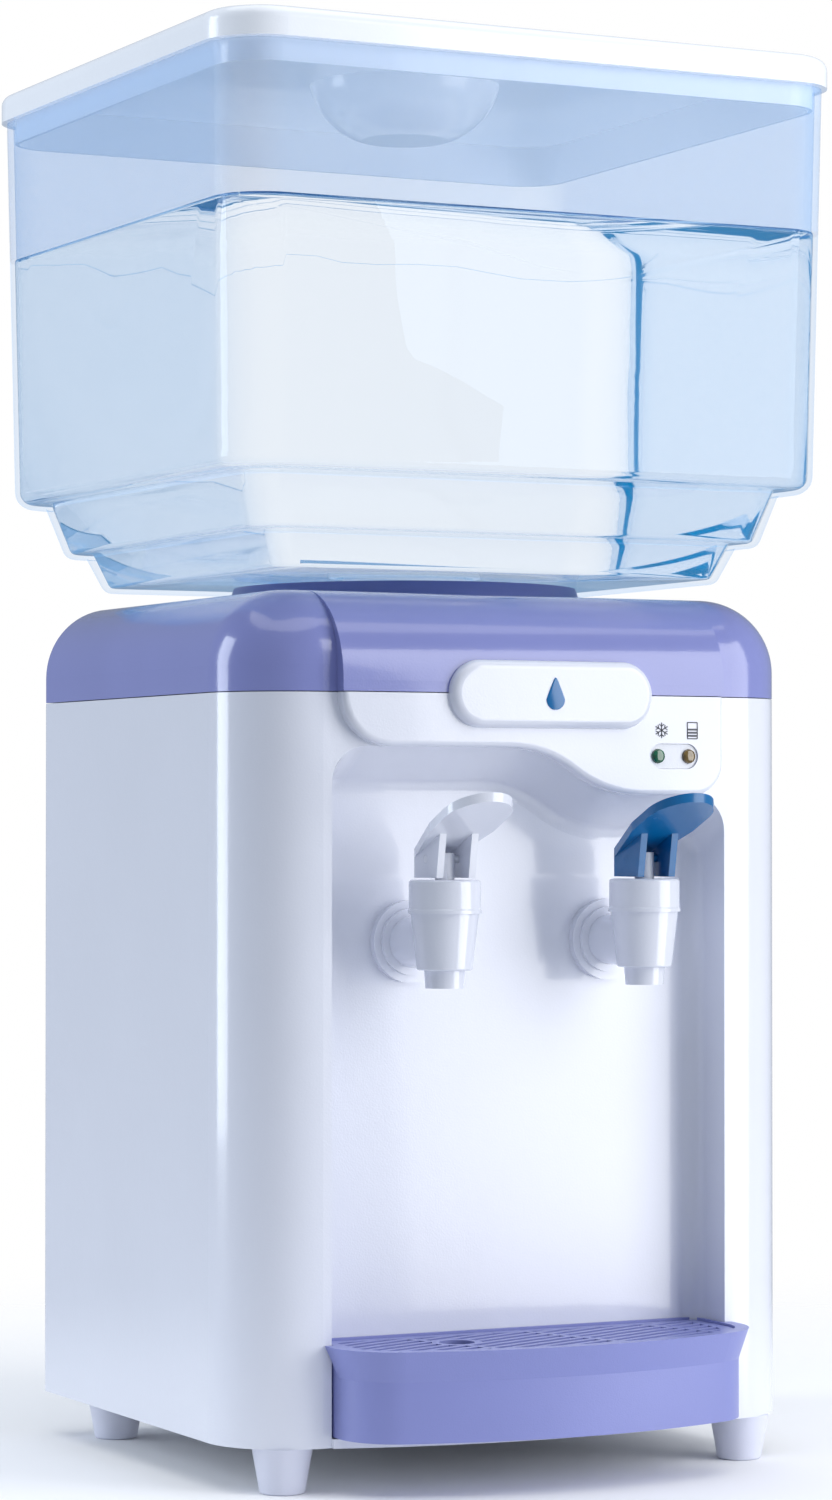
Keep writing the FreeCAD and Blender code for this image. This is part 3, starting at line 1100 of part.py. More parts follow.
def reservoir():
    outer = (RESERVOIR_LEFT, RESERVOIR_RIGHT, RESERVOIR_FRONT, RESERVOIR_REAR,
             RESERVOIR_FLOOR, RESERVOIR_TOP)
    inner = [f"{place} {sign} reservoir_wall" for place, sign in zip(outer, "+-+-+-")]
    inlet = rod("boss_radius", "0", TANK_MIDDLE, f"{RESERVOIR_TOP} - reservoir_wall",
                "stub_length + reservoir_wall")
    inlet_way = rod("boss_bore", "0", TANK_MIDDLE, f"{RESERVOIR_TOP} - 5", "stub_length + 6")
    x = "tap_spacing/2"
    outlet = rod("hose_radius", x, COLD_START, TAP_HEIGHT, f"{RESERVOIR_FRONT} + 1 - {COLD_START}",
                 "y")
    outlet_way = rod("hose_bore", x, f"{COLD_START} - 1", TAP_HEIGHT,
                     f"{RESERVOIR_FRONT} + 5 - {COLD_START}", "y")
    node("cold_reservoir", cut(fuse(block(*outer), inlet, outlet), block(*inner), inlet_way,
                               outlet_way))

    grown = [f"{place} {sign} insulation" for place, sign in zip(outer, "-+-+-+")]
    grown[3] = MODULE_FRONT
    window = block("cooler_offset - block_size/2", "cooler_offset + block_size/2",
                   f"{RESERVOIR_REAR} - 1", f"{MODULE_FRONT} + 1",
                   f"{COOLER_HEIGHT} - block_size/2", f"{COOLER_HEIGHT} + block_size/2")
    top_hole = rod("boss_radius + sleeve_wall + fit_gap", "0", TANK_MIDDLE, RESERVOIR_TOP,
                   "insulation + 1")
    hose_hole = rod("hose_radius + tube_wall + fit_gap", x, f"{RESERVOIR_FRONT} - insulation - 1",
                    TAP_HEIGHT, "insulation + 1", "y")
    node("reservoir_insulation", cut(block(*grown), block(*outer), window, top_hole, hose_hole))

    sleeve_foot = f"{RESERVOIR_TOP} + 3"
    node("inlet_sleeve", tube("boss_radius + sleeve_wall", "boss_radius", "0", TANK_MIDDLE,
                              sleeve_foot, "sleeve_length"))
    start = f"({HOSE_END} - 4.4)"
    node("cold_tube", tube("hose_radius + tube_wall", "hose_radius", x, start, TAP_HEIGHT,
                           f"{RESERVOIR_FRONT} - 1 - {start}", "y"))
    stem_x, stem_y = f"{RESERVOIR_RIGHT} - 14", f"({RESERVOIR_FRONT} + {RESERVOIR_REAR})/2"
    node("level_stem", rod("guide_radius", stem_x, stem_y,
                           f"{RESERVOIR_FLOOR} + reservoir_wall",
                           f"{RESERVOIR_TOP} - {RESERVOIR_FLOOR} - 2*reservoir_wall"))
    node("level_float", tube("float_radius", "guide_radius + pin_gap", stem_x, stem_y,
                             f"{RESERVOIR_FLOOR} + reservoir_wall + move_gap", "float_height"))


HOSE_END = f"({ALCOVE_BACK} + shank_length)"
COLD_START = f"({HOSE_END} + 1)"


def ambient_tube():
    """Tube from the socket's side spigot down beside the cooler and forward to the left tap."""
    x, y, z = value("-tap_spacing/2"), value(TANK_MIDDLE), value(SPIGOT_HEIGHT)
    stops = [Vector(value("-boss_radius - 2"), y, z), Vector(x, y, z),
             Vector(x, y, value(TAP_HEIGHT)), Vector(x, value(f"{HOSE_END} - 4.4"), value(TAP_HEIGHT))]
    bend = value("tube_bend")
    edges, last = [], stops[0]
    for before, corner, after in zip(stops, stops[1:], stops[2:]):
        into, out = (corner - before).normalize(), (after - corner).normalize()
        start, end = corner - into * bend, corner + out * bend
        middle = corner + (out - into) * (bend * (1 - math.sqrt(0.5)))
        edges += [Part.LineSegment(last, start).toShape(), Part.Arc(start, middle, end).toShape()]
        last = end
    edges.append(Part.LineSegment(last, stops[-1]).toShape())
    path = Part.Wire(edges)

    def swept(radius):
        ring = Part.Wire(Part.Circle(stops[0], Vector(1, 0, 0), radius).toShape())
        return path.makePipeShell([ring], True, False)

    obj = doc.addObject("Part::Feature", "AmbientTube")
    obj.Shape = swept(value("hose_radius + tube_wall")).cut(swept(value("hose_radius")))
    obj.Placement = FreeCAD.Placement()
    node("ambient_tube", obj)


def heat_pump():
    half = "block_size/2"
    across = (f"cooler_offset - {half}", f"cooler_offset + {half}")
    up = (f"{COOLER_HEIGHT} - {half}", f"{COOLER_HEIGHT} + {half}")
    node("cold_block", block(*across, RESERVOIR_REAR, MODULE_FRONT, *up))
    node("thermoelectric_module", block(*across, MODULE_FRONT, SINK_FRONT, *up))
    half = "sink_size/2"
    up = (f"{COOLER_HEIGHT} - {half}", f"{COOLER_HEIGHT} + {half}")
    root = f"{SINK_FRONT} + sink_base"
    plate = block(f"cooler_offset - {half}", f"cooler_offset + {half}", SINK_FRONT, root, *up)
    count = int(value("(sink_size - fin_thickness)/fin_pitch")) + 1
    first = f"cooler_offset - fin_pitch*{count - 1}/2 - fin_thickness/2"
    fins = [block(f"{first} + {number}*fin_pitch", f"{first} + {number}*fin_pitch + fin_thickness",
                  f"{root} - 1", f"{root} + fin_length", *up) for number in range(count)]
    node("heat_sink", fuse(plate, *fins))


def fan():
    half = "fan_size/2"
    frame = block(f"cooler_offset - {half}", f"cooler_offset + {half}", FAN_FRONT,
                  f"{FAN_FRONT} + fan_depth", f"{COOLER_HEIGHT} - {half}",
                  f"{COOLER_HEIGHT} + {half}")
    duct = rod("fan_bore", "cooler_offset", f"{FAN_FRONT} - 1", COOLER_HEIGHT, "fan_depth + 2",
               "y")
    mount_at = f"({FAN_FRONT} + fan_depth - 3)"
    mount = rod("hub_radius", "cooler_offset", mount_at, COOLER_HEIGHT, "3", "y")
    reach = "(fan_bore + 1)"
    arms = [block(f"cooler_offset - {reach}", f"cooler_offset + {reach}", mount_at,
                  f"{mount_at} + 3", f"{COOLER_HEIGHT} - 2", f"{COOLER_HEIGHT} + 2"),
            block("cooler_offset - 2", "cooler_offset + 2", mount_at, f"{mount_at} + 3",
                  f"{COOLER_HEIGHT} - {reach}", f"{COOLER_HEIGHT} + {reach}")]
    bearing = rod("pin_radius + pin_gap", "cooler_offset", f"{mount_at} - 1", COOLER_HEIGHT, "5",
                  "y")
    node("fan_frame", cut(fuse(cut(frame, duct), mount, *arms), bearing))

    body = new_body("Rotor")
    depth = "(fan_depth - 3 - 1 - 2*move_gap)"
    pad(body, circle(body, "XZ_Plane", depth, "0", "0", "hub_radius"), depth)
    blade = sketch(body, "YZ_Plane", "hub_radius - 2", (
        ("1", "-7"), ("2.6", "-7"), (f"{depth} - 1", "7"), (f"{depth} - 2.6", "7")))
    first = pad(body, blade, "fan_bore - blade_gap - hub_radius + 2")
    doc.recompute()
    wheel = body.newObject("PartDesign::PolarPattern", "Wheel")
    wheel.Originals = [first]
    wheel.Axis = ([item for item in body.Origin.OriginFeatures if item.Role == "Y_Axis"][0], [""])
    wheel.Angle = 360
    wheel.Occurrences = 7
    body.Tip = wheel
    doc.recompute()
    pad(body, circle(body, "XZ_Plane", f"{depth} + 3", "0", "0", "pin_radius"), "4")
    node("fan_rotor", put(body, "cooler_offset", f"{FAN_FRONT} + 1", COOLER_HEIGHT))


def electrics():
    x0 = "(wall + 6 - body_width/2)"
    y1 = f"({REAR} - 2*wall - 16)"
    y0, z0 = f"({y1} - supply_depth)", "(foot_height + base_thickness)"
    board = block(x0, f"{x0} + supply_width", y0, y1, f"{z0} + 6", f"{z0} + 6 + board_thickness")
    over = f"({z0} + 6 + board_thickness - 0.2)"
    posts = [rod("3", f"{x0} + {x}", f"{y}", z0, "6.2") for x in ("5", "supply_width - 5")
             for y in (f"{y0} + 5", f"{y1} - 5")]
    core = block(f"{x0} + 8", f"{x0} + 42", f"{y0} + 14", f"{y0} + 46", over, f"{over} + 26")
    cans = [rod("6", f"{x0} + {x}", f"{y0} + 64", over, "22") for x in ("14", "32")]
    node("power_supply", fuse(board, core, *posts, *cans))

    flange = "gland_radius + 3"
    node("cord_gland", turned("Gland", (
        ("gland_bore", "0"), ("gland_radius + 1.5", "0"), ("gland_radius + 1.5", "3"),
        ("gland_radius", "3"), ("gland_radius", "3 + 2*wall"), (flange, "3 + 2*wall"),
        (flange, "5 + 2*wall"), ("gland_radius - 1", "12 + 2*wall"),
        ("gland_bore", "12 + 2*wall")), GLAND_X, f"{REAR} - 2*wall - 3", GLAND_Z, TO_REAR))

    wide, tall = "(switch_width/2)", "(switch_height/2)"
    lip = block(f"{GLAND_X} - {wide} - 2", f"{GLAND_X} + {wide} + 2", REAR, f"{REAR} + 1.6",
                f"{SWITCH_Z} - {tall} - 2", f"{SWITCH_Z} + {tall} + 2")
    case = block(f"{GLAND_X} - {wide}", f"{GLAND_X} + {wide}", f"{REAR} - 14", f"{REAR} + 1",
                 f"{SWITCH_Z} - {tall}", f"{SWITCH_Z} + {tall}")
    room = block(f"{GLAND_X} - {wide} + 1.6", f"{GLAND_X} + {wide} - 1.6", f"{REAR} - 12",
                 f"{REAR} + 3", f"{SWITCH_Z} - {tall} + 1", f"{SWITCH_Z} + {tall} - 1")
    axle_y = f"({REAR} - 1.5)"
    bearing = rod("pin_radius + pin_gap", f"{GLAND_X} - {wide} - 1", axle_y, SWITCH_Z,
                  "switch_width + 2", "x")
    node("switch_frame", cut(fuse(lip, case), room, bearing))
    reach = "(switch_height/2 - 1.5)"
    half = "(switch_width/2 - 1.6 - move_gap)"
    drum = rod(reach, f"-{half}", "0", "0", f"2*{half}", "x")
    slice_ = block(f"-{half}", half, "-3", "4.4", f"-{reach}", reach)
    axle = rod("pin_radius", "-switch_width/2 + 0.2", "0", "0", "switch_width - 0.4", "x")
    rocker = fuse(common(drum, slice_), axle)
    rocker.Placement = FreeCAD.Placement(Vector(), FreeCAD.Rotation(Vector(1, 0, 0), 1))
    rocker.setExpression("Placement.Rotation.Angle", bound("rocker_tilt*1deg"))
    node("switch_rocker", put(rocker, GLAND_X, axle_y, SWITCH_Z))


# ---------------------------------------------------------------- build, check, write

def build():
    housing_shell()
    rear_panel()
    base_plate()
    feet()
    case_screws()
    top_cover()
    tank_socket()
    badge_and_lamps()
    drip_tray()
    drip_grille()
    for name, sign in SIDES.items():
        tap(name, sign)
    tank()
    lid()
    reservoir()
    ambient_tube()
    heat_pump()
    fan()
    electrics()
    doc.recompute()


def check():
    for obj in doc.Objects:
        if "Invalid" in obj.State or "Error" in obj.State:
            raise ValueError(f"{obj.Label} failed: {obj.getStatusString()}")
    for name, obj in parts.items():
        if obj.Shape.isNull() or not obj.Shape.isValid() or not obj.Shape.Solids:
            raise ValueError(f"{name} has no valid solid")


def write():
    os.makedirs("parts", exist_ok=True)
    for name, obj in parts.items():
        obj.Shape.exportStep(f"parts/{name}.step")
    print(f"{len(parts)} sub-parts written")


build()
check()
write()
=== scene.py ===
import json
import math

import bmesh
import bpy
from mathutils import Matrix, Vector

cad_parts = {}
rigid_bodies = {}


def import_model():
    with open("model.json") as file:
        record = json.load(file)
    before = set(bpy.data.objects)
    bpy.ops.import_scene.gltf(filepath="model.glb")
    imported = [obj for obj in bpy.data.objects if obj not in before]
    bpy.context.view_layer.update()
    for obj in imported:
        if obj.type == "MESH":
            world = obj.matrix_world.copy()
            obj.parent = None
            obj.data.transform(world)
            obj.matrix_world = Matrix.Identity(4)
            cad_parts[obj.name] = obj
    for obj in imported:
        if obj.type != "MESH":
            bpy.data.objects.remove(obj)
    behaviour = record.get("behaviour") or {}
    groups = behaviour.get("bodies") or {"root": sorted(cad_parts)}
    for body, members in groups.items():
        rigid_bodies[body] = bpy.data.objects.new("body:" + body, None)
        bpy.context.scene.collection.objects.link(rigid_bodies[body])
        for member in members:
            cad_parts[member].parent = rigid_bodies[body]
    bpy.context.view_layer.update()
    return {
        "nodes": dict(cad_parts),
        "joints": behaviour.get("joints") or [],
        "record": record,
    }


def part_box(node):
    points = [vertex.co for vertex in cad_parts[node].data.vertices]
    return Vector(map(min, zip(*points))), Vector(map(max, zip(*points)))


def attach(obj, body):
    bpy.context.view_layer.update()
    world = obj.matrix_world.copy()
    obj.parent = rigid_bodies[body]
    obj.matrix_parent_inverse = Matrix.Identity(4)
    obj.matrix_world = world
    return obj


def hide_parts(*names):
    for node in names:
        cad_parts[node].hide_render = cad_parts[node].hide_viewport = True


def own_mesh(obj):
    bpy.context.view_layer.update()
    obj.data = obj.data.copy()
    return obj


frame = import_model()
MM = 0.001
WATER_LEVEL = 415.5 * MM
# Depth of the darker blue strip under the surface: painted shade at the waterline.
WATERLINE_SHADE_DEPTH = 0.5 * MM
SIGN_HEIGHT = 246 * MM


# ---------------------------------------------------------------- node wiring

class Wire:
    """A node's output that can be used in sums, each of which adds a Math node."""

    def __init__(self, finish, socket):
        self.finish, self.socket = finish, socket

    def math(self, operation, first, second):
        return self.finish.add("Math", {"operation": operation}, {0: first, 1: second})

    def __add__(self, other):
        return self.math("ADD", self, other)

    def __sub__(self, other):
        return self.math("SUBTRACT", self, other)

    def __rsub__(self, other):
        return self.math("SUBTRACT", other, self)

    def __mul__(self, other):
        return self.math("MULTIPLY", self, other)

    __radd__ = __add__
    __rmul__ = __mul__


class Finish:
    """A material, or the world, whose nodes are added one at a time."""

    def __init__(self, owner):
        owner.use_nodes = True
        self.owner = owner
        self.tree = owner.node_tree
        self.tree.nodes.clear()

    def add(self, kind, settings=None, sockets=None, output=0):
        node = self.tree.nodes.new("ShaderNode" + kind)
        for name, setting in (settings or {}).items():
            setattr(node, name, setting)
        for name, given in (sockets or {}).items():
            if isinstance(given, Wire):
                self.tree.links.new(given.socket, node.inputs[name])
            else:
                node.inputs[name].default_value = given
        return Wire(self, node.outputs[output])

    def place(self):
        return self.add("TexCoord", output="Object")

    def noise(self, scale, detail=3, stretch=None):
        place = self.place()
        if stretch:
            place = self.add("Mapping", {}, {"Vector": place, "Scale": stretch})
        return self.add("TexNoise", {}, {"Vector": place, "Scale": scale, "Detail": detail})

    def blend(self, factor, first, second):
        return self.add("Mix", {"data_type": "RGBA"}, {0: factor, 6: first, 7: second}, 2)

    def ramp(self, factor, low, high):
        return self.add("MapRange", {}, {"Value": factor, "From Min": low, "From Max": high})

    def bump(self, height, depth):
        return self.add("Bump", {}, {"Height": height, "Distance": depth, "Strength": 1.0})

    def surface(self, shader):
        self.add_output("OutputMaterial", shader)

    def add_output(self, kind, shader):
        node = self.tree.nodes.new("ShaderNode" + kind)
        self.tree.links.new(shader.socket, node.inputs["Surface"])


def color(red, green, blue):
    return (red, green, blue, 1)


def shade(base, factor):
    return color(*(min(1, channel * factor) for channel in base[:3]))


# ---------------------------------------------------------------- finishes

def moulded(name, base, rough, grain, gloss, drift=0.03, glow=0.0):
    """Moulded plastic: slow colour drift, uneven gloss, fine grain and faint rubbing; a glow
    above zero is painted light, an emission on a part that is no lamp.
    """
    finish = Finish(bpy.data.materials.new(name))
    tint = finish.ramp(finish.noise(14, 2), 0.35, 0.65)
    patch = finish.noise(55, 4)
    rub = finish.ramp(finish.noise(240, 5, (1, 1, 0.12)), 0.60, 0.78)
    fine = finish.noise(grain, 2)
    peel = finish.noise(190, 1)
    finish.surface(finish.add("BsdfPrincipled", {}, {
        "Base Color": finish.blend(tint, shade(base, 1 - drift), shade(base, 1 + drift)),
        "Roughness": rough + patch * rough * 0.35 - rough * 0.17 + rub * 0.05,
        "IOR": 1.5,
        "Coat Weight": gloss,
        "Coat Roughness": 0.06,
        # Painted light: the emission glow (zero unless glow is given) lights a part that is no
        # lamp.
        "Emission Color": color(0.86, 0.93, 1.0),
        "Emission Strength": glow,
        "Normal": finish.bump(fine * 0.5 + peel * 0.5, 0.00006 if gloss else 0.00012),
    }))
    return finish.owner


def clear_plastic(name, base, painted_underwater_glow, film):
    """Clear tinted plastic with hairlines, denser edge on, and below the water a painted glow:
    the film is black there and emits a blue tint in place of lit colour.
    """
    finish = Finish(bpy.data.materials.new(name))
    height = finish.add("SeparateXYZ", {}, {0: finish.place()}, output="Z")
    dry = finish.add("MapRange", {}, {"Value": height, "From Min": WATER_LEVEL - 0.2 * MM,
                                      "From Max": WATER_LEVEL + 0.2 * MM})
    edge_on = finish.add("LayerWeight", {}, {"Blend": 0.35}, output="Facing")
    hair = finish.ramp(finish.noise(900, 3, (1, 1, 0.03)), 0.62, 0.80)
    tint = finish.noise(8, 1)
    finish.surface(finish.add("BsdfPrincipled", {}, {
        # Below the water the base is black: the film's colour there is only painted glow.
        "Base Color": finish.blend(dry, color(0, 0, 0), finish.blend(
            tint, shade(base, 0.97), shade(base, 1.03))),
        "Roughness": 0.05 + hair * 0.08,
        "IOR": 1.46,
        "Specular IOR Level": 0.2,
        "Alpha": film * (0.22 + dry * 0.70) + edge_on * (film * (1.5 + dry * 0.4)),
        # Painted light: below the water line the film emits the given blue instead of being lit.
        "Emission Color": finish.blend(dry, painted_underwater_glow, color(0, 0, 0)),
        "Emission Strength": 1.0,
        "Normal": finish.bump(finish.noise(34, 1), 0.0001),
    }))
    return finish.owner


def still_water(name, base):
    finish = Finish(bpy.data.materials.new(name))
    swell = finish.noise(26, 1)
    finish.surface(finish.add("BsdfPrincipled", {}, {
        "Base Color": finish.blend(finish.noise(5, 1), shade(base, 0.99), base),
        "Roughness": 0.0,
        "IOR": 1.33,
        "Specular Tint": color(0.60, 0.77, 1.0),
        "Transmission Weight": 1.0,
        "Normal": finish.bump(swell, 0.0001),
    }))
    return finish.owner


def metal(name, base, rough, stretch):
    """Drawn or extruded metal with fine lines along it."""
    finish = Finish(bpy.data.materials.new(name))
    lines = finish.noise(1800, 3, stretch)
    dull = finish.noise(60, 3)
    finish.surface(finish.add("BsdfPrincipled", {}, {
        "Base Color": finish.blend(dull, shade(base, 0.85), base),
        "Metallic": 1.0,
        "Roughness": rough + lines * 0.15 + dull * 0.08,
        "Normal": finish.bump(lines, 0.00003),
    }))
    return finish.owner


def foam(name, base):
    finish = Finish(bpy.data.materials.new(name))
    cells = finish.add("TexVoronoi", {}, {"Vector": finish.place(), "Scale": 420})
    finish.surface(finish.add("BsdfPrincipled", {}, {
        "Base Color": finish.blend(cells, base, shade(base, 0.86)),
        "Roughness": 0.85,
        "Normal": finish.bump(cells, 0.0004),
    }))
    return finish.owner


def circuit(name, base):
    """Solder mask over copper tracks."""
    finish = Finish(bpy.data.materials.new(name))
    tracks = finish.add("TexBrick", {}, {"Vector": finish.place(), "Scale": 130,
                                         "Mortar Size": 0.06}, output="Fac")
    finish.surface(finish.add("BsdfPrincipled", {}, {
        "Base Color": finish.blend(tracks, base, shade(base, 1.8)),
        "Roughness": 0.32 + finish.noise(200) * 0.1,
        "Normal": finish.bump(tracks, 0.00008),
    }))
    return finish.owner


def tinted_lens(name, base):
    """Coloured lamp lens, darker in random clouds, with a faint glow of its own colour."""
    finish = Finish(bpy.data.materials.new(name))
    cloud = finish.ramp(finish.noise(420, 2), 0.35, 0.7)
    finish.surface(finish.add("BsdfPrincipled", {}, {
        "Base Color": finish.blend(cloud, shade(base, 0.35), base),
        "Roughness": 0.06 + finish.noise(900) * 0.05,
        "Coat Weight": 1.0,
        "Coat Roughness": 0.03,
        "Emission Color": base,
        "Emission Strength": 0.05,
    }))
    return finish.owner


LAVENDER = color(0.235, 0.262, 0.575)
FINISHES = {
    "white_gloss": moulded("white_gloss", color(0.76, 0.785, 0.88), 0.16, 1400, 0.5, 0.01),
    # The lid is a lighter white that glows: painted light brightening its underside as seen
    # through the tank.
    "lid_white": moulded("lid_white", color(0.86, 0.89, 0.95), 0.20, 1400, 0.3, 0.01, 0.15),
    "lavender_gloss": moulded("lavender_gloss", LAVENDER, 0.16, 1400, 0.5),
    "lavender_satin": moulded("lavender_satin", LAVENDER, 0.38, 2200, 0.0),
    # The collar is the cover's lavender darkened: painted shade where it sits under the tank.
    "collar_lavender": moulded("collar_lavender", color(0.12, 0.15, 0.40), 0.34, 2000, 0.0),
    # The second colour is the blue the film glows with below the water: painted light.
    "tank_clear": clear_plastic("tank_clear", color(0.33, 0.61, 1.0), color(0.0, 0.29, 0.69),
                                0.135),
    "water": still_water("water", color(0.965, 0.985, 1.0)),
    # A darker blue water for the strip under the surface: painted shade at the waterline.
    "water_edge": still_water("water_edge", color(0.22, 0.42, 0.72)),
    "white_satin": moulded("white_satin", color(0.78, 0.80, 0.86), 0.34, 2200, 0.0, 0.015),
    "blue_gloss": moulded("blue_gloss", color(0.0, 0.13, 0.36), 0.24, 1500, 0.2),
    "foot_grey": moulded("foot_grey", color(0.70, 0.72, 0.84), 0.32, 1800, 0.15),
    "lamp_green": tinted_lens("lamp_green", color(0.0, 0.13, 0.06)),
    "lamp_amber": tinted_lens("lamp_amber", color(0.20, 0.125, 0.025)),
    "silicone": moulded("silicone", color(0.72, 0.73, 0.74), 0.42, 900, 0.0),
    "black_plastic": moulded("black_plastic", color(0.018, 0.018, 0.021), 0.36, 2400, 0.0, 0.2),
    "dark_rubber": moulded("dark_rubber", color(0.02, 0.02, 0.022), 0.62, 1700, 0.0, 0.2),
    "steel": metal("steel", color(0.60, 0.60, 0.61), 0.22, (1, 1, 0.1)),
    "aluminium": metal("aluminium", color(0.77, 0.78, 0.79), 0.28, (1, 0.05, 1)),
    "ceramic": moulded("ceramic", color(0.80, 0.79, 0.75), 0.5, 2600, 0.0),
    "foam": foam("foam", color(0.84, 0.84, 0.83)),
    "circuit_board": circuit("circuit_board", color(0.01, 0.10, 0.035)),
    "print_grey": moulded("print_grey", color(0.05, 0.055, 0.075), 0.4, 3000, 0.0, 0.1),
}


def dress(piece, slot):
    piece.data.materials.clear()
    piece.data.materials.append(FINISHES[slot])


for row in frame["record"]["subparts"]:
    dress(frame["nodes"][row["node"]], row["material_slot"])
# The lid takes the lighter, glowing white: painted light on its underside.
dress(frame["nodes"]["lid"], "lid_white")
# The collar takes the darkened lavender: painted shade under the tank.
dress(frame["nodes"]["tank_socket"], "collar_lavender")


# ---------------------------------------------------------------- bench tools

def clear_bench():
    """Leave every earlier piece alone: operators act on what is selected."""
    if bpy.context.object and bpy.context.object.mode != "OBJECT":
        bpy.ops.object.mode_set(mode="OBJECT")
    bpy.ops.object.select_all(action="DESELECT")


def edit(piece):
    clear_bench()
    bpy.context.view_layer.objects.active = piece
    piece.select_set(True)
    bpy.ops.object.mode_set(mode="EDIT")
    bpy.ops.mesh.select_all(action="DESELECT")


def pick(piece, test, kind="faces"):
    """In edit mode, select the faces, edges or vertices that pass a test."""
    bpy.ops.mesh.select_all(action="DESELECT")
    bpy.ops.mesh.select_mode(type={"faces": "FACE", "edges": "EDGE", "verts": "VERT"}[kind])
    mesh = bmesh.from_edit_mesh(piece.data)
    for element in getattr(mesh, kind):
        if test(element):
            element.select_set(True)
    mesh.select_flush_mode()
    bmesh.update_edit_mesh(piece.data)


def middle(element):
    """The middle of an edge or a face."""
    points = [vertex.co for vertex in element.verts]
    return sum(points, Vector()) / len(points)


def settle(piece, name, body, slot, angle=32):
    """Finish a piece: apply what is live on it, smooth it, dress it and mount it."""
    clear_bench()
    bpy.context.view_layer.objects.active = piece
    piece.select_set(True)
    bpy.ops.object.transform_apply(location=True, rotation=True, scale=True)
    for modifier in list(piece.modifiers):
        bpy.ops.object.modifier_apply(modifier=modifier.name)
    bpy.ops.object.shade_smooth_by_angle(angle=math.radians(angle))
    piece.name = piece.data.name = name
    dress(piece, slot)
    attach(piece, body)
    return piece


def join(first, *others):
    clear_bench()
    for other in (first, *others):
        other.select_set(True)
    bpy.context.view_layer.objects.active = first
    bpy.ops.object.join()
    return first


def copy_of(node):
    """A loose copy of a frame node with its triangles welded together."""
    source = frame["nodes"][node]
    piece = source.copy()
    piece.data = source.data.copy()
    piece.parent = None
    for key in list(piece.keys()):
        del piece[key]
    bpy.context.scene.collection.objects.link(piece)
    edit(piece)
    bpy.ops.mesh.select_all(action="SELECT")
    bpy.ops.mesh.remove_doubles(threshold=0.00001)
    return piece


# ---------------------------------------------------------------- tank water

def tank_water():
    """The tank's inner skin up to the water level, closed above and at the outlet, with a darker
    blue strip of painted shade just under the surface.
    """
    low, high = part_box("tank_shell")
    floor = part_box("tank_valve_cage")[1][2] + 0.1 * MM
    centre = Vector(((low[0] + high[0]) / 2, (low[1] + high[1]) / 2, 0))
    piece = copy_of("tank_shell")
    shade_band = WATER_LEVEL - WATERLINE_SHADE_DEPTH
    for level, clear_above, clear_below in (
            (WATER_LEVEL, True, False), (floor, False, True), (shade_band, False, False)):
        bpy.ops.mesh.select_all(action="SELECT")
        bpy.ops.mesh.bisect(plane_co=(0, 0, level), plane_no=(0, 0, 1), clear_outer=clear_above,
                            clear_inner=clear_below, threshold=0.000001)

    def outer(face):
        spot = middle(face)
        away = Vector((spot.x - centre.x, spot.y - centre.y, 0))
        if abs(face.normal.z) > 0.9:
            return False
        return face.normal.dot(away) > 0

    pick(piece, outer)
    bpy.ops.mesh.select_linked()
    bpy.ops.mesh.delete(type="FACE")
    for level in (WATER_LEVEL, floor):
        pick(piece, lambda edge: edge.is_boundary and abs(middle(edge).z - level) < 0.01 * MM,
             "edges")
        bpy.ops.mesh.edge_face_add()
    bpy.ops.mesh.select_all(action="SELECT")
    bpy.ops.mesh.normals_make_consistent(inside=False)
    bpy.ops.transform.shrink_fatten(value=0.5 * MM)
    pick(piece, lambda face: face.normal.z > 0.99 and middle(face).z > WATER_LEVEL - 1 * MM)
    bpy.ops.mesh.inset(thickness=1.8 * MM)
    bpy.ops.transform.translate(value=(0, 0, -0.9 * MM))
    settle(piece, "tank_water", "tank", "water")
    # Side faces in the top strip take the darker blue water: painted shade at the waterline.
    piece.data.materials.append(FINISHES["water_edge"])
    for polygon in piece.data.polygons:
        if abs(polygon.normal.z) < 0.5 and polygon.center.z > shade_band:
            polygon.material_index = 1


# ---------------------------------------------------------------- front signs and lamps

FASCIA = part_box("badge_plate")[1][1]
PRINT = 0.10 * MM


def centre_of(node):
    low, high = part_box(node)
    return (Vector(low) + Vector(high)) / 2


def stroke(start, end, width):
    """A printed line on the fascia between two (x, z) places."""
    run, rise = end[0] - start[0], end[1] - start[1]
    bpy.ops.mesh.primitive_cube_add(
        size=1, location=((start[0] + end[0]) / 2, FASCIA - PRINT / 2, (start[1] + end[1]) / 2),
        rotation=(0, math.atan2(run, rise), 0), scale=(width, PRINT * 1.4, math.hypot(run, rise)))
    return bpy.context.object


def frost_sign(x, z):
    """Six barbed arms."""
    clear_bench()
    strokes = []
    for turn in range(6):
        angle = math.radians(60 * turn)

        def out(reach, lean=0.0):
            return (x + reach * math.sin(angle + lean), z + reach * math.cos(angle + lean))

        strokes.append(stroke(out(0), out(2.6 * MM), 0.36 * MM))
        for side in (-1, 1):
            strokes.append(stroke(out(1.35 * MM), out(2.25 * MM, side * 0.42), 0.30 * MM))
    settle(join(*strokes), "frost_sign", "housing", "print_grey")


def level_sign(x, z):
    """A small tank outline, part full."""
    clear_bench()
    half, tall, line = 1.9 * MM, 2.7 * MM, 0.36 * MM
    corners = [(x - half, z + tall), (x - half, z - tall), (x + half, z - tall),
               (x + half, z + tall)]
    strokes = [stroke(first, second, line)
               for first, second in zip(corners, corners[1:] + corners[:1])]
    for step in range(3):
        level = z - 1.75 * MM + step * 1.05 * MM
        strokes.append(stroke((x - half, level), (x + half, level), 0.62 * MM))
    settle(join(*strokes), "level_sign", "housing", "print_grey")


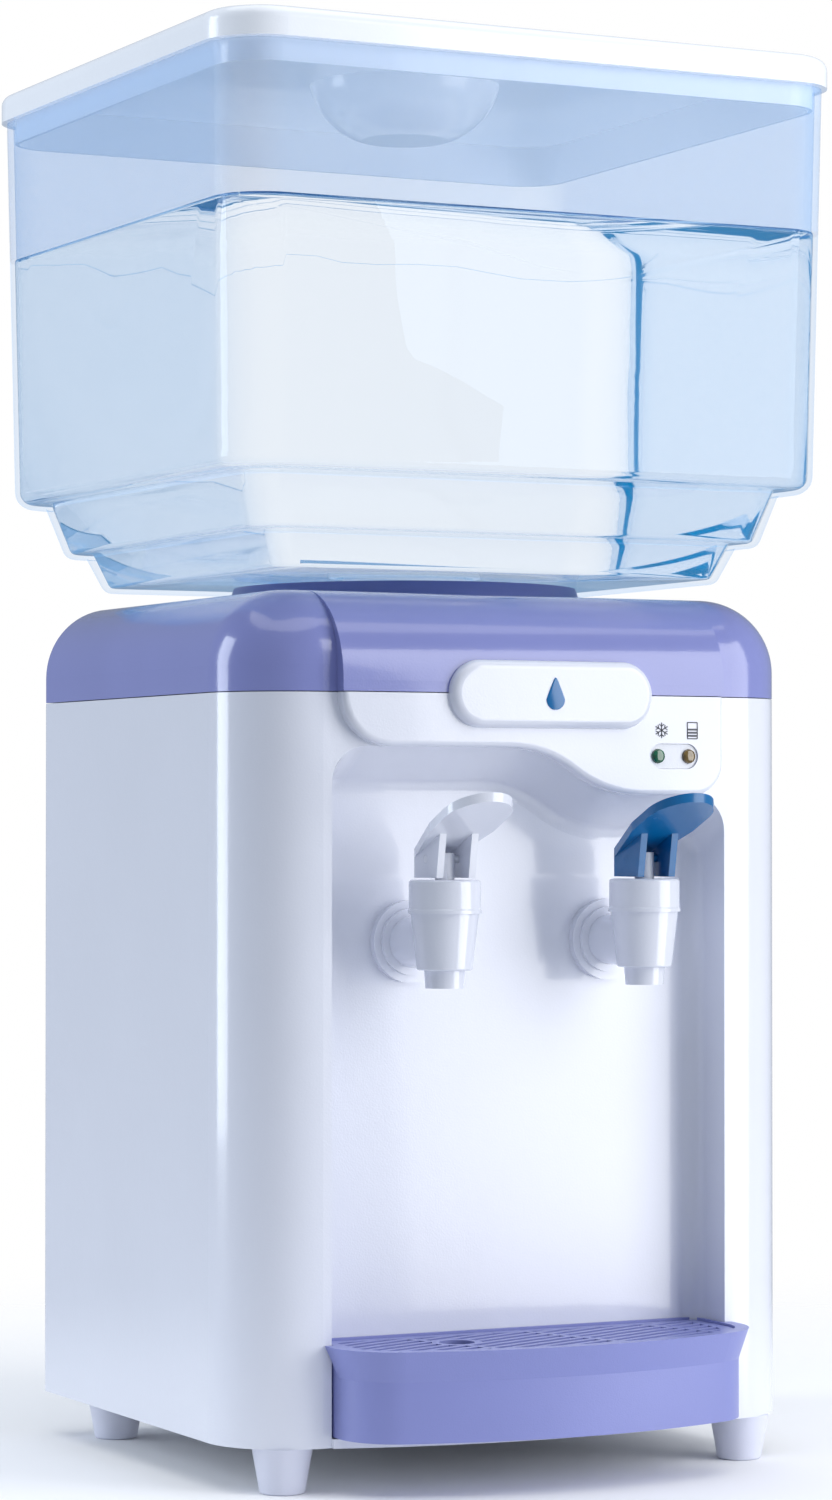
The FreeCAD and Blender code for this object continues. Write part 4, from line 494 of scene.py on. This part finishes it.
def drop_sign():
    """A raised water drop on the badge."""
    clear_bench()
    low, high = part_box("badge_plate")
    place = centre_of("badge_plate")
    round_part, tip = 3.4 * MM, 7.2 * MM
    heart = place.z - 1.7 * MM
    bpy.ops.mesh.primitive_circle_add(vertices=48, radius=round_part, fill_type="NGON",
                                      location=(place.x, low[1] + 0.05 * MM, heart),
                                      rotation=(math.radians(90), 0, 0))
    piece = bpy.context.object
    bpy.ops.object.transform_apply(location=True, rotation=True, scale=True)
    edit(piece)
    mesh = bmesh.from_edit_mesh(piece.data)
    for vertex in mesh.verts:
        up = (vertex.co.z - heart) / round_part
        if up > 0:
            vertex.co.x = place.x + (vertex.co.x - place.x) * (1 - 0.55 * up ** 1.2)
            vertex.co.z += (tip - round_part) * up ** 1.6
    bmesh.update_edit_mesh(piece.data)
    bpy.ops.mesh.select_all(action="SELECT")
    bpy.ops.mesh.extrude_region_move(TRANSFORM_OT_translate={"value": (0, -0.35 * MM, 0)})
    bpy.ops.mesh.select_all(action="SELECT")
    bpy.ops.mesh.normals_make_consistent(inside=False)
    front = low[1] - 0.25 * MM
    pick(piece, lambda edge: all(vertex.co.y < front for vertex in edge.verts), "edges")
    bpy.ops.mesh.bevel(offset=0.14 * MM, segments=2, affect="EDGES")
    settle(piece, "drop_sign", "housing", "blue_gloss")


def lamp(node, name, slot):
    """A domed lens set in its hole."""
    clear_bench()
    low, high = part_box(node)
    place = centre_of(node)
    length = high[1] - low[1] - 0.5 * MM
    bpy.ops.mesh.primitive_cylinder_add(
        vertices=40, radius=(high[0] - low[0]) / 2, depth=length,
        location=(place.x, high[1] - length / 2, place.z), rotation=(math.radians(90), 0, 0))
    piece = bpy.context.object
    bpy.ops.object.transform_apply(location=True, rotation=True, scale=True)
    edit(piece)
    pick(piece, lambda face: face.normal.y < -0.9)
    for inset, rise in ((0.22, 0.16), (0.45, 0.18), (0.55, 0.11), (0.5, 0.04)):
        bpy.ops.mesh.inset(thickness=inset * MM)
        bpy.ops.transform.translate(value=(0, -rise * MM, 0))
    settle(piece, name, "housing", slot, angle=50)
    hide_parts(node)


# ---------------------------------------------------------------- tap springs

def tap_coil(side):
    """The tap's spring, a welded copy of the frame's spring; the plunger's travel is read but the
    spring keeps its length.
    """
    node = f"tap_spring_{side}"
    joint = f"{side}_plunger_slide"
    low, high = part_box(node)
    travel = max(next(row["range_m"] for row in frame["joints"] if row["name"] == joint))
    piece = settle(copy_of(node), f"tap_coil_{side}", "housing", "steel")
    1 - travel / (high[2] - low[2])
    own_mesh(piece)
    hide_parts(node)


# ---------------------------------------------------------------- rear screws

def rear_screws():
    """Pan-head screws with a cross recess, in two columns of three."""
    low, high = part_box("rear_screws")
    head = 3.2 * MM
    clear_bench()
    bpy.ops.mesh.primitive_cylinder_add(vertices=40, radius=head, depth=1.2 * MM,
                                        rotation=(math.radians(-90), 0, 0))
    first = bpy.context.object
    bpy.ops.object.transform_apply(location=True, rotation=True, scale=True)
    edit(first)
    pick(first, lambda face: face.normal.y > 0.9)
    for inset, rise in ((0.35, 0.45), (0.7, 0.35), (0.9, 0.15)):
        bpy.ops.mesh.inset(thickness=inset * MM)
        bpy.ops.transform.translate(value=(0, rise * MM, 0))
    clear_bench()
    cutters = []
    for turn in (45, 135):
        bpy.ops.mesh.primitive_cube_add(size=1, location=(0, 1.5 * MM, 0),
                                        rotation=(0, math.radians(turn), 0),
                                        scale=(3.4 * MM, 2.4 * MM, 0.75 * MM))
        cutters.append(bpy.context.object)
    for cutter in cutters:
        cut = first.modifiers.new("recess", "BOOLEAN")
        cut.object, cut.operation, cut.solver = cutter, "DIFFERENCE", "EXACT"
        clear_bench()
        bpy.context.view_layer.objects.active = first
        first.select_set(True)
        bpy.ops.object.modifier_apply(modifier=cut.name)
        bpy.data.objects.remove(cutter)
    heads = []
    back = high[1] - 1.55 * MM
    for x in (low[0] + head, high[0] - head):
        for z in (low[2] + head, (low[2] + high[2]) / 2, high[2] - head):
            screw = first.copy()
            screw.data = first.data.copy()
            bpy.context.scene.collection.objects.link(screw)
            screw.location = (x, back, z)
            heads.append(screw)
    bpy.data.objects.remove(first)
    piece = settle(join(*heads), "rear_screw_heads", "housing", "steel")
    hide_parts("rear_screws")


tank_water()
frost_sign(centre_of("green_lamp").x + 1.1 * MM, SIGN_HEIGHT)
level_sign(centre_of("amber_lamp").x + 1.2 * MM, SIGN_HEIGHT)
drop_sign()
lamp("green_lamp", "green_lens", "lamp_green")
lamp("amber_lamp", "amber_lens", "lamp_amber")
rear_screws()
for side in ("left", "right"):
    tap_coil(side)


# ---------------------------------------------------------------- floor, light and camera

def studio():
    clear_bench()
    bpy.ops.mesh.primitive_circle_add(vertices=96, radius=1.1, fill_type="NGON")
    floor = bpy.context.object
    floor.name = "studio_floor"
    finish = Finish(bpy.data.materials.new("studio_floor"))
    reach = finish.add("VectorMath", {"operation": "LENGTH"}, {0: finish.place()}, output="Value")
    fade = finish.add("MapRange", {"interpolation_type": "SMOOTHSTEP"}, {
        "Value": reach, "From Min": 0.16, "From Max": 0.62, "To Min": 1.0, "To Max": 0.0})
    finish.surface(finish.add("BsdfPrincipled", {}, {
        "Base Color": finish.blend(finish.noise(3, 2), color(0.93, 0.935, 0.95),
                                   color(0.95, 0.955, 0.965)),
        "Roughness": 0.6,
        "Specular IOR Level": 0.0,
        "Alpha": fade,
    }))
    floor.data.materials.append(finish.owner)

    world = bpy.data.worlds.new("studio")
    bpy.context.scene.world = world
    sky = Finish(world)
    glow = sky.add("Background", {}, {"Color": color(0.77, 0.86, 1.0), "Strength": 0.36})
    plain = sky.add("Background", {}, {"Color": color(1, 1, 1), "Strength": 1.0})
    seen = sky.add("LightPath", output="Is Camera Ray")
    through = sky.add("LightPath", output="Is Transmission Ray")
    lit = seen.math("MAXIMUM", seen, through)
    sky.add_output("OutputWorld", sky.add("MixShader", {}, {0: lit, 1: glow, 2: plain}))

    def hang(name, kind, place, aim, strength, tint, **sizes):
        data = bpy.data.lights.new(name, kind)
        data.energy, data.color = strength, tint
        for size, amount in sizes.items():
            setattr(data, size, amount)
        lamp = bpy.data.objects.new(name, data)
        lamp.location = place
        lamp.rotation_euler = Vector(aim).to_track_quat("-Z", "Y").to_euler()
        lamp.visible_transmission = False
        bpy.context.scene.collection.objects.link(lamp)

    hang("top", "SUN", (0, 0, 2), (0.03, 0.05, -1.0), 1.5, (1, 1, 1), angle=math.radians(70))
    hang("key", "AREA", (0.58, -0.70, 0.38), (-0.52, 0.56, -0.12), 7.0, (1.0, 0.995, 0.985),
         shape="RECTANGLE", size=0.6, size_y=1.0)
    hang("side", "AREA", (-1.2, 0.62, 0.5), (0.9, -0.45, -0.2), 8.4, (0.86, 0.93, 1.0),
         shape="RECTANGLE", size=0.5, size_y=1.0)


def camera():
    data = bpy.data.cameras.new("camera")
    data.sensor_fit, data.sensor_height, data.sensor_width = "VERTICAL", 36, 36
    data.lens = 102.6
    data.clip_end = 400
    holder = bpy.data.objects.new("camera", data)
    place = Vector((-661.8, -1320.1, 215.1)) * MM
    target = Vector((0.25, 6.5, 240.5)) * MM
    holder.location = place
    holder.rotation_euler = (target - place).to_track_quat("-Z", "Y").to_euler()
    bpy.context.scene.collection.objects.link(holder)
    bpy.context.scene.camera = holder


studio()
camera()
bpy.context.scene.view_settings.view_transform = "Standard"

clear_bench()
